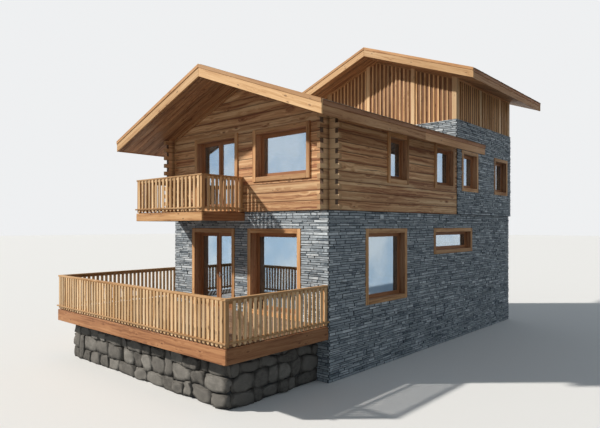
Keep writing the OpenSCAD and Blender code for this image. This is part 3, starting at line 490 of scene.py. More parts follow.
footing, tree, skin = new_material("cast_footing")
here = add(tree, "TexCoord", out="Object")
pits = noise(here, 90.0, 4.0, 0.7)
mottle = pits * 0.4 + noise(here, 2.2, 5.0, 0.6) * 0.6
clothe(skin, {"Base Color": blend(mottle, rgb(0.24, 0.235, 0.225), rgb(0.46, 0.455, 0.44)),
              "Roughness": 0.9, "Normal": bump(pits, 0.35, 0.003)})
print("backing ready")

# %% [markdown]
# Glass is bright with sky: the pane is partly a mirror, partly clear, and not quite flat, and its
# blue, cloudy tint is a painted reflection of sky. Steel is brushed along the handle.

# %% Glass and steel
glass, tree, skin = new_material("glass_with_painted_sky")
here = add(tree, "TexCoord", out="Object")
# Painted reflection: a cloudy blue and pale tint that stands for the sky in the pane.
painted_sky = ramp(noise(here, 0.7, 3.0), 0.34, 0.66)
clothe(skin, {"Base Color": blend(painted_sky, rgb(0.45, 0.64, 0.84), rgb(0.72, 0.84, 0.95)),
              "Normal": bump(noise(here, 1.3, 1.0), 0.02, 0.05),
              "Roughness": 0.02, "Metallic": 0.62, "Transmission Weight": 1.0, "IOR": 1.45})

steel, tree, skin = new_material("brushed_steel")
lines = noise(add(tree, "TexCoord", out="Object"), (900.0, 900.0, 40.0))
clothe(skin, {"Base Color": blend(lines, rgb(0.50, 0.50, 0.49), rgb(0.66, 0.66, 0.65)),
              "Roughness": lines * 0.14 + 0.24, "Metallic": 1.0})
print("glass and steel ready")

# %% [markdown]
# Floors, roof decks and joists are CAD solids that show boards of one width side by side. Their
# material counts the boards across, gives each its own piece of the tree, and darkens the gaps.

# %% Boards drawn on CAD solids
def laid_larch(name, colours, width, along):
    made, tree, skin = new_material(name)
    x, y, z = axes(add(tree, "TexCoord", out="Object"))
    run, across = (x, y) if along == "X" else (y, x)
    count = across / width
    pick = chance(maths("FLOOR", count))
    place = add(tree, "CombineXYZ", {"X": run + pick * 50.0, "Y": across, "Z": z})
    colour = wood_finish(skin, place, pick, colours, 0.6, 0.9)
    gap = ramp(maths("ABSOLUTE", maths("FRACT", count) - 0.5), 0.475, 0.492)
    plug(blend(gap * 0.8, colour, rgb(0.05, 0.025, 0.012)), skin["Base Color"])
    return made

indoor_floor = laid_larch("indoor_floor", ((0.62, 0.46, 0.29), (0.50, 0.35, 0.20), (0.34, 0.21, 0.11)),
                          0.14, "Y")
roof_deck = laid_larch("roof_deck", ((0.40, 0.24, 0.13), (0.30, 0.165, 0.08), (0.17, 0.08, 0.035)), 0.16, "X")
joist_larch = laid_larch("joist_larch", ((0.46, 0.27, 0.14), (0.36, 0.19, 0.09), (0.20, 0.10, 0.045)),
                         0.6, "X")
print("materials:", len(bpy.data.materials))

# %% [markdown]
# A CAD node whose shape is right keeps it and gets a finish. The window frames, railings, trims and
# attic boards aren't in this list: boards laid one by one take their place further down.

# %% Finishes of the CAD nodes
FINISHES = [
    (footing, ["foundation_slab"]),
    (backing, ["front_wall_base", "front_wall_piers", "front_wall_lintel", "right_stone_wall",
               "left_stone_wall", "rear_stone_wall", "cross_wall"]),
    (plinth_backing, ["deck_plinth"]),
    (indoor_floor, ["ground_floor", "upper_floor"]),
    (front_logs, ["front_log_wall", "front_gable_logs"]),
    (side_logs, ["right_log_wall", "left_log_wall"]),
    (roof_deck, ["front_roof_right", "front_roof_left", "rear_roof_right", "rear_roof_left"]),
    (glass, ["window_glass", "left_leaf_glass", "right_leaf_glass"]),
    (steel, ["terrace_door_hinges", "left_leaf_fittings", "right_leaf_fittings"]),
    (joist_larch, ["deck_joists"])]
for material, names in FINISHES:
    for name in names:
        nodes[name].data.materials.clear()
        nodes[name].data.materials.append(material)
print(sum(len(names) for material, names in FINISHES), "nodes finished")

# %% [markdown]
# ## Boards
# A carpenter's board is a block with slightly broken edges. Each one is made as its own small mesh,
# where bevelling is quick, gets its grain coordinates and a tone of its own, and is then added to a
# pile that becomes one object. Modelling them in one large mesh would make every bevel search all
# the boards laid before.

# %% Board helpers
rng = random.Random(12)
mathutils.noise.seed_set(12)   # the rubble's noises would differ in every run without it
scratch = bpy.data.meshes.new("scratch")

def new_pile():
    pile = bmesh.new()
    pile.verts.layers.float_vector.new("grain")
    pile.verts.layers.float.new("tone")
    pile.verts.layers.float.new("split")
    return pile

def lay(pile, small, along, place=None, tone=None):
    """Gives a small shape its grain and tone, moves it to its place and adds it to the pile."""
    grain = small.verts.layers.float_vector.new("grain")
    light = small.verts.layers.float.new("tone")
    first, second = [i for i in range(3) if i != along]
    shift = [rng.uniform(0, 60) for i in range(3)]
    level = rng.random() if tone is None else tone
    for v in small.verts:
        v[grain] = (v.co[along] + shift[0], v.co[first] + shift[1], v.co[second] + shift[2])
        v[light] = level
    if place is not None:
        small.transform(place)
    small.to_mesh(scratch)
    small.free()
    pile.from_mesh(scratch)

def block(a, b):
    """A box between two corners, named in any order."""
    lo, hi = Vector([min(pair) for pair in zip(a, b)]), Vector([max(pair) for pair in zip(a, b)])
    small = bmesh.new()
    bmesh.ops.create_cube(small, size=1, matrix=Matrix.LocRotScale((lo + hi) / 2, None, hi - lo))
    return small

def soften(small, edges, offset):
    bmesh.ops.bevel(small, geom=edges, offset=offset, segments=1, profile=0.5, affect="EDGES", material=-1)

def board(pile, a, b, place=None, edge=0.003):
    """A board between two corners, its grain along its longest side."""
    small = block(a, b)
    soften(small, small.edges[:], edge)
    size = [abs(q - p) for p, q in zip(a, b)]
    lay(pile, small, size.index(max(size)), place)

def finish(pile, name, coat, stands_for=(), body="house"):
    """Makes an object of a pile, in a material of its own, that rides on a body."""
    material, slot = coats[coat]
    mesh = bpy.data.meshes.new(name)
    pile.to_mesh(mesh)
    pile.free()
    mesh.materials.append(material)
    made = bpy.data.objects.new(name, mesh)
    link(made)
    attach(made, body)
    if stands_for:
        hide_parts(*stands_for)
    print(name, len(mesh.polygons), "faces")

def turned(x, y, z, degrees):
    return Matrix.Translation((x, y, z)) @ Matrix.Rotation(math.radians(degrees), 4, "Z")

def facing(wall, along, z, face):
    """Place of a thing on a wall: its X runs along the wall, its Y goes in, its Z is up."""
    x, y = {"front": (along, face), "back": (along, face), "right": (face, along), "left": (-face, along)}[wall]
    return turned(x, y, z, {"front": 0, "right": 90, "back": 180, "left": -90}[wall])

print("helpers for boards ready")

# %% [markdown]
# ## Windows
# A window is boards on three levels: the casing on the wall's face, the lining that turns into the
# opening, and the sash with its beads that hold the pane. The casing stands a few millimetres back
# from the lining's face, which leaves the thin shadow line a joiner leaves.

# %% Places of the windows
SILL, HEAD = 5.320, 3.970                        # foot of the upper windows, head of the side's lower ones
TALL_H, STRIP_W, STRIP_H, UPPER_H = 2.150, 3.040, 0.880, 1.500
DOOR_X, DOOR_W, DOOR_H, STONE_DEPTH = 1.3475, 2.105, 2.490, 0.230
# Wall, middle along it, foot, face, width, height, depth of the sash behind the face, leaves.
windows = [("front", DOOR_X, DECK_Z, FRONT, DOOR_W, DOOR_H, STONE_DEPTH, 1),
           ("front", 1.700, SILL, LOG_Y, 2.200, UPPER_H, 0.200, 1),
           ("front", -1.110, LOG_Z + 0.040, LOG_Y, 2.090, 2.340, 0.200, 2)]
for wall in ("right", "left"):
    windows += [(wall, -3.465, HEAD - TALL_H, HALF, 2.230, TALL_H, 0.160, 1),
                (wall, 0.940, HEAD - STRIP_H, HALF, STRIP_W, STRIP_H, 0.160, 1)]
    windows += [(wall, along, SILL, LOG_X, width, UPPER_H, 0.160, 1)
                for along, width in ((-2.960, 1.180), (0.090, 1.480), (2.125, 1.430), (5.135, 1.430))]
windows += [("back", -1.700, SILL, BACK, 1.430, UPPER_H, STONE_DEPTH, 1),
            ("back", 1.700, SILL, BACK, 1.430, UPPER_H, STONE_DEPTH, 1),
            ("back", 0.0, HEAD - STRIP_H, BACK, STRIP_W, STRIP_H, STONE_DEPTH, 1)]
print(len(windows), "windows")

# %% Window boards
CASING, PROUD, LINING = 0.135, 0.040, 0.045    # width of the casing, its thickness, thickness of the lining
SASH, SASH_T, BEAD = 0.095, 0.060, 0.014       # width and thickness of the sash, width of its beads
SHADOW, SUNK = 0.006, 0.004                    # casing back from the lining, casing let into the wall

def casing(pile, w, h, at, bottom=True):
    inner = w / 2 - CASING + SHADOW
    for side in (-1, 1):
        board(pile, (side * inner, -PROUD, 0), (side * w / 2, SUNK, h), at, 0.004)
    for low, high in [(h - CASING + SHADOW, h)] + ([(0, CASING - SHADOW)] if bottom else []):
        board(pile, (-inner + 0.001, -PROUD, low), (inner - 0.001, SUNK, high), at, 0.004)

def lining(pile, w, h, deep, at, bottom=True):
    inner, front, back = w / 2 - CASING, 0.009 - PROUD, deep + SASH_T
    low = CASING - LINING if bottom else 0
    for side in (-1, 1):
        board(pile, (side * inner, front, low), (side * (inner + LINING), back, h - CASING + LINING), at)
    board(pile, (-inner, front, h - CASING), (inner, back, h - CASING + LINING), at)
    if bottom:
        board(pile, (-inner, front, low), (inner, back, CASING), at)

def sash(pile, x0, x1, z0, z1, deep, at, low=SASH, gap=0.003):
    """Two stiles, two rails and the beads round the pane."""
    x0, x1, z0, z1 = x0 + gap, x1 - gap, z0 + gap, z1 - gap
    near, far = deep, deep + SASH_T
    left, right, foot, top = x0 + SASH - gap, x1 - SASH + gap, z0 + low - gap, z1 - SASH + gap
    board(pile, (x0, near, z0), (left, far, z1), at)
    board(pile, (right, near, z0), (x1, far, z1), at)
    board(pile, (left, near, z0), (right, far, foot), at)
    board(pile, (left, near, top), (right, far, z1), at)
    for a, b in ((near + 0.005, near + 0.018), (far - 0.018, far - 0.005)):
        for x in (left, right - BEAD):
            board(pile, (x, a, foot), (x + BEAD, b, top), at, 0.004)
        for z in (foot, top - BEAD):
            board(pile, (left + BEAD, a, z), (right - BEAD, b, z + BEAD), at, 0.004)

frames = {"front": ["front_window_frames"], "right": ["side_window_frames"],
          "left": [], "back": ["rear_window_frames"]}
for wall, stands_for in frames.items():
    casings, reveals, sashes = new_pile(), new_pile(), new_pile()
    for side, along, z, face, w, h, deep, leaves in windows:
        if side != wall:
            continue
        at = facing(wall, along, z, face)
        casing(casings, w, h, at)
        lining(reveals, w, h, deep, at)
        clear = w / 2 - CASING
        for x0, x1 in ((-clear, clear),) if leaves == 1 else ((-clear, 0), (0, clear)):
            sash(sashes, x0, x1, CASING, h - CASING, deep, at)
        if leaves == 2:
            cover = (-0.024, deep - 0.014, CASING + 0.004), (0.024, deep + 0.002, h - CASING - 0.004)
            board(sashes, *cover, at, 0.005)
    finish(casings, wall + "_casings", "casing", stands_for)
    finish(reveals, wall + "_reveals", "reveal")
    finish(sashes, wall + "_sashes", "sash")

# %% [markdown]
# The terrace door has the same casing, but no board below: its sill is a step in the wall's depth.
# Its two leaves are sashes with a tall bottom rail. Each rides on its own body, so that it swings.

# %% Terrace door
door = facing("front", -DOOR_X, DECK_Z, FRONT)
door_boards, door_lining = new_pile(), new_pile()
casing(door_boards, DOOR_W, DOOR_H, door, False)
lining(door_lining, DOOR_W, DOOR_H, STONE_DEPTH, door, False)
opening, top = DOOR_W / 2 - CASING, DOOR_H - CASING
STOP, STOP_NEAR, STOP_FAR = 0.022, 0.204, 0.222
for side in (-1, 1):
    board(door_lining, (side * (opening - STOP), STOP_NEAR, 0), (side * opening, STOP_FAR, top), door)
board(door_lining, (STOP - opening, STOP_NEAR, top - STOP), (opening - STOP, STOP_FAR, top), door)
for first, second in ((0, 0.148), (0.151, 0.299), (0.302, 0.450)):
    board(door_lining, (-opening - LINING, first, -0.040), (opening + LINING, second, 0), door)
finish(door_boards, "terrace_door_casing", "casing", ["terrace_door_frame"])
finish(door_lining, "terrace_door_lining", "reveal")

for body, x0, x1 in (("left_leaf", -0.9095, -0.006), ("right_leaf", 0.006, 0.9095)):
    leaf = new_pile()
    sash(leaf, x0, x1, 0.008, 2.347, STONE_DEPTH, door, low=0.180, gap=0)
    finish(leaf, body + "_boards", "sash", [body + "_frame"], body)

# %% [markdown]
# ## Railings
# Posts, a handrail board, two back rails, and in front of them pickets whose feet are sawn to a
# blunt point. A light rail clamps the pickets from outside, just above their feet. The shapes repeat
# the CAD railing, and one function lays every run.

# %% Railings
POST, CAP_T, RAIL_T = 0.100, 0.050, 0.034
RAIL_TOP = 1.040 - CAP_T                       # underside of the handrail
CLAMP_OUT, CLAMP_LOW, CLAMP_HIGH = 0.050, 0.078, 0.120
PICKET_W, PICKET_NEAR, PICKET_FAR = 0.088, -0.023, 0.005

def picket(pile, x, at):
    foot = 0.010
    small = block((x - PICKET_W / 2, PICKET_NEAR, foot), (x + PICKET_W / 2, PICKET_FAR, RAIL_TOP - 0.001))
    low = [e for e in small.edges if all(v.co.z < foot * 2 for v in e.verts)]
    soften(small, [e for e in low if abs(e.verts[0].co.x - e.verts[1].co.x) < 1e-4], 0.030)
    soften(small, small.edges[:], 0.0025)
    lay(pile, small, 2, at)

def railing(rails, pickets, at, length, corners, posts, spacing=0.150):
    """A run of railing. corners and posts say for its two ends if rails go on and if a post stands."""
    start, stop = corners
    for wanted, x in zip(posts, (0, length - POST)):
        if wanted:
            board(rails, (x, 0, 0), (x + POST, POST, RAIL_TOP), at, 0.006)
    board(rails, (-0.020 * start, -0.020, RAIL_TOP), (length + 0.020 * stop, POST, RAIL_TOP + CAP_T), at, 0.008)
    for low, high in ((RAIL_TOP - 0.070, RAIL_TOP), (0.068, 0.138)):
        board(rails, (0.002, 0.001, low), (length - 0.002, 0.001 + RAIL_T, high), at)
    clamps = [(-CLAMP_OUT * start, length + CLAMP_OUT * stop, -CLAMP_OUT, PICKET_NEAR)]
    if start:
        clamps.append((-CLAMP_OUT, PICKET_NEAR, PICKET_NEAR, 0.0))
    if stop:
        clamps.append((length - PICKET_NEAR, length + CLAMP_OUT, PICKET_NEAR, 0.0))
    for x0, x1, y0, y1 in clamps:
        board(rails, (x0, y0, CLAMP_LOW), (x1, y1, CLAMP_HIGH), at, 0.006)
    count = max(2, round((length - POST) / spacing))
    for i in range(count):
        picket(pickets, POST / 2 + (i + 0.5) * (length - POST) / count, at)

# Outsides of the terrace's and the balcony's posts.
DECK_X0, DECK_X1, DECK_Y0, DECK_Y1 = -4.660, 3.330, -9.610, -1.970
BALCONY_X0, BALCONY_X1, BALCONY_Y = -3.170, 0.150, -7.790
runs = [("deck_front", (turned(DECK_X0, DECK_Y0, DECK_Z, 0), 7.99, (1, 1), (1, 1)), ["deck_front_railing"]),
        ("deck_right", (turned(DECK_X1, DECK_Y0 + POST, DECK_Z, 90), 3.31, (0, 0), (0, 1)), []),
        ("deck_left", (turned(DECK_X0, DECK_Y1, DECK_Z, -90), 7.54, (1, 0), (1, 0)), ["deck_side_railings"]),
        ("deck_end", (turned(-3.35, DECK_Y1, DECK_Z, 180), 1.21, (0, 0), (1, 0)), ["deck_end_railing"]),
        ("balcony_front", (turned(BALCONY_X0, BALCONY_Y, LOG_Z, 0), 3.32, (1, 1), (1, 1), 0.190),
         ["balcony_front_railing"]),
        ("balcony_right", (turned(BALCONY_X1, BALCONY_Y + POST, LOG_Z, 90), 1.41, (0, 0), (0, 1)), []),
        ("balcony_left", (turned(BALCONY_X0, -6.28, LOG_Z, -90), 1.41, (0, 0), (1, 0)),
         ["balcony_side_railings"])]
for name, sizes, stands_for in runs:
    rails, pickets = new_pile(), new_pile()
    railing(rails, pickets, *sizes)
    finish(rails, name + "_rails", "rail", stands_for)
    finish(pickets, name + "_pickets", "picket")

# %% [markdown]
# ## Terrace and balcony
# Floor boards lie across the joists with 6 mm gaps for rain, in lengths that break joint from row to row.
# The fascia is one wide board that hides the joists' ends. The balcony's side boards are as dark as
# the terrace's, as painted shade on the sides.

# %% Floors of the terrace and the balcony
FLOOR_T, FASCIA_T, EDGE = 0.040, 0.050, 0.020   # floor, fascia, and the fascia's face past the posts
INSET = FASCIA_T - EDGE                         # the floor ends at the fascia's back

def flooring(pile, x0, x1, y0, y1, top, along, width=0.140, gap=0.006, longest=3.6):
    """Boards that fill a rectangle, in lengths that break joint from row to row."""
    low, high, start, stop = (y0, y1, x0, x1) if along == "X" else (x0, x1, y0, y1)
    count = round((high - low) / (width + gap))
    step = (high - low) / count
    for i in range(count):
        a, b = low + i * step + gap / 2, low + (i + 1) * step - gap / 2
        cuts = [start]
        while stop - cuts[-1] > longest:
            cuts.append(cuts[-1] + longest * rng.uniform(0.55, 0.95))
        for c, d in zip(cuts, cuts[1:] + [stop]):
            corners = [(c + 0.001, a), (d - 0.001, b)] if along == "X" else [(a, c + 0.001), (b, d - 0.001)]
            board(pile, (*corners[0], top - FLOOR_T), (*corners[1], top), None, 0.004)

floors = new_pile()
flooring(floors, DECK_X0 + INSET, DECK_X1 - INSET, DECK_Y0 + INSET, FRONT, DECK_Z, "X")
flooring(floors, DECK_X0 + INSET, -3.350, FRONT, DECK_Y1 - INSET, DECK_Z, "Y")
finish(floors, "terrace_floor", "deck", ["deck_boards"])

balcony = new_pile()
balcony_start, balcony_front = BALCONY_X0 + INSET, BALCONY_Y + INSET
flooring(balcony, balcony_start, BALCONY_X1 - INSET, balcony_front, FRONT, LOG_Z, "X", longest=4)
JOISTS, JOIST_W, JOIST_H = 6, 0.080, 0.160
for i in range(JOISTS):
    x = balcony_start + i * (3.260 - JOIST_W) / (JOISTS - 1)
    foot = LOG_Z - FLOOR_T - JOIST_H
    board(balcony, (x, balcony_front, foot), (x + JOIST_W, FRONT, foot + JOIST_H), None, 0.004)
finish(balcony, "balcony_boards", "deck", ["balcony_floor"])

# %% Fascias of the terrace and the balcony
def fascia(pile, top, height, *boards):
    """Boards on edge: each is x0, x1, y0, y1. Their top lies a little below the floor."""
    for x0, x1, y0, y1 in boards:
        board(pile, (x0, y0, top - EDGE - height), (x1, y1, top - EDGE), None, 0.005)

skirt, front_skirt, side_skirts = new_pile(), new_pile(), new_pile()
x0, x1, y0, y1 = DECK_X0 - EDGE, DECK_X1 + EDGE, DECK_Y0 - EDGE, DECK_Y1 + EDGE
fascia(skirt, DECK_Z, 0.335, (x0, x1, y0, y0 + FASCIA_T), (x1 - FASCIA_T, x1, y0 + FASCIA_T + 0.001, FRONT),
       (x0, x0 + FASCIA_T, y0 + FASCIA_T + 0.001, y1 - 0.001), (x0 + FASCIA_T + 0.001, -3.350, y1 - FASCIA_T, y1))
finish(skirt, "terrace_skirt", "skirt", ["deck_fascia"])

x0, x1, y0 = BALCONY_X0 - EDGE, BALCONY_X1 + EDGE, BALCONY_Y - EDGE
fascia(front_skirt, LOG_Z, 0.245, (x0, x1, y0, y0 + FASCIA_T))
fascia(side_skirts, LOG_Z, 0.245, (x1 - FASCIA_T, x1, y0 + FASCIA_T + 0.001, FRONT),
       (x0, x0 + FASCIA_T, y0 + FASCIA_T + 0.001, FRONT))
finish(front_skirt, "balcony_front_skirt", "fascia", ["balcony_fascia"])
# The side boards take the terrace's darker larch: painted shade.
finish(side_skirts, "balcony_side_skirts", "skirt")

# %% [markdown]
# ## Roof edges
# Bargeboards are sawn plumb at both ends, so they are straight blocks that a shear pushes down along
# the slope: the same thing the saw does, and their ends stay plumb. A strip covers their top edge,
# and a frieze board closes the corner between wall and soffit.

# %% Bargeboards, eave fascias and friezes
BARGE_T, BARGE_LOW = 0.045, 0.347               # thickness of the edge boards, their foot below the ridge line
ATTIC_IN, ATTIC_OUT = 0.190, 0.040              # faces of the attic's boarding behind the stone's face
ATTIC_X = LOG_X - ATTIC_OUT

def rake_board(pile, x0, x1, top, bottom, y0, y1, ridge, side):
    """A board that runs down a roof's slope from the ridge, right or left."""
    shear = Matrix.Identity(4)
    shear[2][0] = -side * PITCH
    board(pile, (side * x0, y0, -top), (side * x1, y1, -bottom), Matrix.Translation((0, 0, ridge)) @ shear, 0.004)

def barge_pair(pile, strips, face, out, ridge):
    """Two bargeboards whose outer face is at a place along Y and looks towards out (-1 or 1)."""
    for side in (-1, 1):
        rake_board(pile, 0.0015, EAVE, 0.006, BARGE_LOW, face, face - out * BARGE_T, ridge, side)
        rake_board(strips, 0.0015, EAVE, 0, 0.100, face + out * 0.018, face - out * 0.010, ridge, side)

def eave_pair(pile, bands, y0, y1, ridge):
    top, inner, meet = ridge - PITCH * EAVE, EAVE - BARGE_T, 0.130
    parts = ((bands, EAVE, 0.010, meet), (pile, EAVE - 0.018, meet + 0.001, BARGE_LOW))
    cuts = [y0, y0 + (y1 - y0) * rng.uniform(0.42, 0.58), y1]
    for side in (-1, 1):
        for a, b in zip(cuts, cuts[1:]):
            for heap, out, high, low in parts:
                board(heap, (side * inner, a + 0.001, top - low), (side * out, b - 0.001, top - high), None, 0.004)

front_end, rear_start, rear_end = FRONT - 1.597, CROSS - 0.870, BACK + 0.870
# Name, ridge, gables as (face, way it looks), friezes as (start, stop), their length, and the eaves.
roofs = [("front", FRONT_RIDGE, [(front_end, -1)], [(LOG_Y - 0.035, LOG_Y)], 3.230,
          front_end + BARGE_T, CROSS + 0.145),
         ("rear", REAR_RIDGE, [(rear_start, -1), (rear_end, 1)],
          [(CROSS + 0.005, CROSS + 0.040), (BACK - 0.040, BACK - 0.005)], 3.250,
          rear_start + BARGE_T, rear_end - BARGE_T)]
for name, ridge, gables, friezes, reach, start, stop in roofs:
    barges, strips, eaves, bands = new_pile(), new_pile(), new_pile(), new_pile()
    for face, out in gables:
        barge_pair(barges, strips, face, out, ridge)
    for side in (-1, 1):
        for y0, y1 in friezes:
            rake_board(eaves, 0.001, reach, 0.332, 0.420, y0, y1, ridge, side)
        if name == "rear":
            top = ridge - SOFFIT - PITCH * (ATTIC_X + 0.035)
            board(eaves, (side * ATTIC_X, CROSS + ATTIC_IN, top - 0.090),
                  (side * (ATTIC_X + 0.035), BACK - ATTIC_IN, top), None, 0.004)
    eave_pair(eaves, bands, start, stop, ridge)
    finish(barges, name + "_bargeboards", "barge", [name + "_roof_trim"])
    finish(strips, name + "_verge_strips", "verge")
    finish(eaves, name + "_eave_boards", "eave")
    finish(bands, name + "_eave_bands", "band")

# %% [markdown]
# ## Attic boarding
# Upright boards stand edge to edge, and a light strip covers each joint, which keeps rain out when
# the boards shrink. Posts frame the bays. Each board is sawn to the slope of the roof at its top.

# %% Attic boards, strips and posts
BAY, STRIP, POST_W = 0.180, 0.060, 0.160
GABLE_POSTS, SIDE_POSTS = (1.650, -0.400, -2.450), (3.140, 5.110)
CORNER_X = 3.250                                # inner side of the corner posts

def upright(pile, x0, x1, y0, y1, drop=0.0, edge=0.003):
    """A standing board, sawn along the roof's underside less a drop."""
    small = block((x0, y0, BOARD_Z), (x1, y1, BOARD_Z + 1))
    for v in small.verts:
        if v.co.z > BOARD_Z + 0.5:
            v.co.z = REAR_RIDGE - SOFFIT - drop - PITCH * abs(v.co.x)
    soften(small, small.edges[:], edge)
    lay(pile, small, 2)

def clear_of(place, posts):
    return all(abs(place - post) > 0.110 for post in posts)

def finish_attic(name, boards, strips, posts, boarding=(), framing=()):
    finish(boards, name + "_attic_boards", "attic", boarding)
    finish(strips, name + "_attic_strips", "strip")
    finish(posts, name + "_attic_posts", "post", framing)

for name, node, wall, out in (("front", "attic_front_boards", CROSS, -1), ("back", "attic_rear_boards", BACK, 1)):
    boards, strips, posts = new_pile(), new_pile(), new_pile()
    inner, outer = wall - out * ATTIC_IN, wall - out * ATTIC_OUT
    for i in range(-18, 18):
        x = i * BAY
        upright(boards, max(x + 0.001, 0.001 - CORNER_X), min(x + BAY - 0.001, CORNER_X - 0.001), inner, outer)
        if i > -18 and clear_of(x, GABLE_POSTS):
            halves = [(x - STRIP / 2, x + STRIP / 2)] if i else [(-STRIP / 2, 0), (0, STRIP / 2)]
            for a, b in halves:
                upright(strips, a, b, outer + out * 0.025, outer - out * 0.002, 0.090)
    for x in GABLE_POSTS:
        upright(posts, x - POST_W / 2, x + POST_W / 2, outer + out * 0.040, outer - out * 0.002, 0.0, 0.006)
    for side in (-1, 1):
        upright(posts, side * CORNER_X, side * LOG_X, outer + out * 0.040, inner, 0.0, 0.008)
    finish_attic(name, boards, strips, posts, [node], ["attic_posts"] if name == "front" else [])

for name, side, stands_for in (("right", 1, ["attic_side_boards"]), ("left", -1, [])):
    boards, strips, posts = new_pile(), new_pile(), new_pile()
    start, stop, middle = CROSS + ATTIC_IN, BACK - ATTIC_IN, (CROSS + BACK) / 2
    places = [middle + i * BAY for i in range(-13, 14)]
    for a, b in zip([start] + places, places + [stop]):
        upright(boards, side * (LOG_X - ATTIC_IN), side * ATTIC_X, a + 0.001, b - 0.001)
    for y in places:
        if clear_of(y, SIDE_POSTS):
            upright(strips, side * (ATTIC_X - 0.002), side * (ATTIC_X + 0.025),
                    y - STRIP / 2, y + STRIP / 2, 0.093)
    for y in SIDE_POSTS:
        upright(posts, side * (ATTIC_X - 0.002), side * LOG_X, y - POST_W / 2, y + POST_W / 2, 0.089, 0.006)
    finish_attic(name, boards, strips, posts, stands_for)

# %% [markdown]
# ## Roofs from below and above
# Under the overhangs, boards with broken edges run up the slope. They are laid level in a frame that
# turns with the roof, first one side, then the other.

# %% Soffits
LEAN, SLACK = math.atan(PITCH), 0.001           # the roof's slope, and the play between pieces
DRY = EAVE - 0.047                              # soffit boards end behind the eave fascia

def roof_frame(ridge, drop, side):
    """X runs down the slope from the ridge, Z is square to the roof."""
    turn = Matrix.Rotation(0 if side > 0 else math.pi, 4, "Z") @ Matrix.Rotation(LEAN, 4, "Y")
    return Matrix.Translation((0, 0, ridge - drop)) @ turn

def soffit(pile, ridge, x0, y0, y1):
    count = round((y1 - y0) / 0.210)
    step = (y1 - y0) / count
    for side in (-1, 1):
        at = roof_frame(ridge, SOFFIT, side)
        for i in range(count):
            a = y0 + i * step
            board(pile, (x0 / math.cos(LEAN), side * (a + 0.001), -0.014),
                  (DRY / math.cos(LEAN), side * (a + step - 0.001), 0.0), at, 0.004)

for name, ridge, gables, friezes, reach, start, stop in roofs:
    soffits = new_pile()
    near, far = friezes[0][0] - SLACK, friezes[-1][1] + SLACK if name == "rear" else stop - SLACK
    soffit(soffits, ridge, 0.004, start + SLACK, near)
    soffit(soffits, ridge, LOG_X + SLACK, near, far)
    if name == "rear":
        soffit(soffits, ridge, 0.004, far, stop - SLACK)
    finish(soffits, name + "_soffit", "soffit")

# %% [markdown]
# The photograph never shows the roofs from above, and split larch shingles are what such a house
# would carry. Each is a thin tapering board: its butt rides on two shingles below, its head lies on
# the deck, so a shear tips it. Rows start at the eave and break joint by chance.

# %% Shingles and ridge boards
SHOWN, LONG_SHINGLE, THICK, TIP = 0.200, 0.42, 0.013, 0.026

def shingles(pile, ridge, y0, y1, inner_stop):
    """Rows from eave to ridge. Those over the walls stop where the rear block begins."""
    for side in (-1, 1):
        at = roof_frame(ridge, COVER, side)
        butt = EAVE / math.cos(LEAN) + 0.020
        while butt > 0.10:
            head = max(butt - LONG_SHINGLE, 0.004)
            stop = inner_stop if butt * math.cos(LEAN) < LOG_X + 0.05 else y1
            y = y0
            while y < stop - 0.01:
                wide = min(rng.uniform(0.10, 0.19), stop - y)
                if stop - y - wide < 0.05:
                    wide = stop - y
                tail = butt + rng.uniform(-0.012, 0.008)
                small = block((head, side * (y + 0.002), 0), (tail, side * (y + wide - 0.002), THICK))
                tip = Matrix.Identity(4)
                tip[2][0] = TIP / (tail - head)
                lay(pile, small, 0, at @ Matrix.Translation((0, 0, -head * tip[2][0])) @ tip)
                y += wide
            butt -= SHOWN

def ridge_boards(pile, ridge, y0, y1):
    y = y0
    while y < y1 - 0.01:
        stop = y1 if y1 - y < 2.2 else y + 1.5
        for side in (-1, 1):
            board(pile, (0.0 if side > 0 else 0.022, side * y, 0.030), (0.150, side * stop, 0.050),
                  roof_frame(ridge, COVER, side), 0.004)
        y = stop

for name, ridge, gables, friezes, reach, start, stop in roofs:
    cover, y0, y1 = new_pile(), start + SLACK, stop - SLACK
    inner_stop = CROSS if name == "front" else y1
    shingles(cover, ridge, y0, y1, inner_stop)
    ridge_boards(cover, ridge, y0, inner_stop)
    finish(cover, name + "_shingles", "shingle")

# %% [markdown]
# ## Split slate
# A ledge wall is built in level courses of very different stones. One list of courses serves all
# walls, so that the courses meet at the corners, where the stones of one wall run past the other's
# in turn. Each stone is a block whose split face is inset and pushed about, so that it catches
# light like a broken edge. Its sides carry a low "split" value, which the slate darkens as dirt in
# the joint and as painted shade. The courses sway a few millimetres out of level, by a noise read at
# the stone's place in the world, so that neighbours sway alike and the joints stay closed.

# %% One ledge stone
def sway(small, at, amount=0.017):
    """Lifts a stone's corners by a smooth noise of their place, less near the ground."""
    for v in small.verts:
        place = at @ v.co
        lift = mathutils.noise.noise(Vector((place.x * 1.3, place.y * 1.3, place.z * 2.2)))
        v.co.z += amount * min(1.0, place.z / 0.4) * lift

def ledge(pile, x0, x1, z0, z1, out, at, rough, inset, tone):
    """One stone with its split face towards -Y."""
    small = block((x0, -out * 0.55, z0), (x1, 0.030, z1))
    face = min(small.faces, key=lambda f: f.calc_center_median().y)
    rim = min(inset, (z1 - z0) * 0.25, (x1 - x0) * 0.25)
    bmesh.ops.inset_region(small, faces=[face], thickness=rim, depth=0)
    # The split face gets 1 and the sides 0, and the slate darkens the sides as dirt and painted shade.
    split = small.verts.layers.float.new("split")
    for v in face.verts:
        v[split] = 1.0
        v.co += Vector((rng.uniform(-rough, rough), -out * 0.45 + rng.uniform(-rough, rough),
                        rng.uniform(-rough, rough) * 0.5))
    sway(small, at)
    lay(pile, small, 0, at, tone)

print("ledge stones ready")

# %% [markdown]
# The rubble under the terrace is made of boulders: blocks cut finer, with their corners drawn in and
# their faces made uneven. A smooth noise bends the joints between them, alike on both sides of a
# joint, so that no joint is straight and none opens.

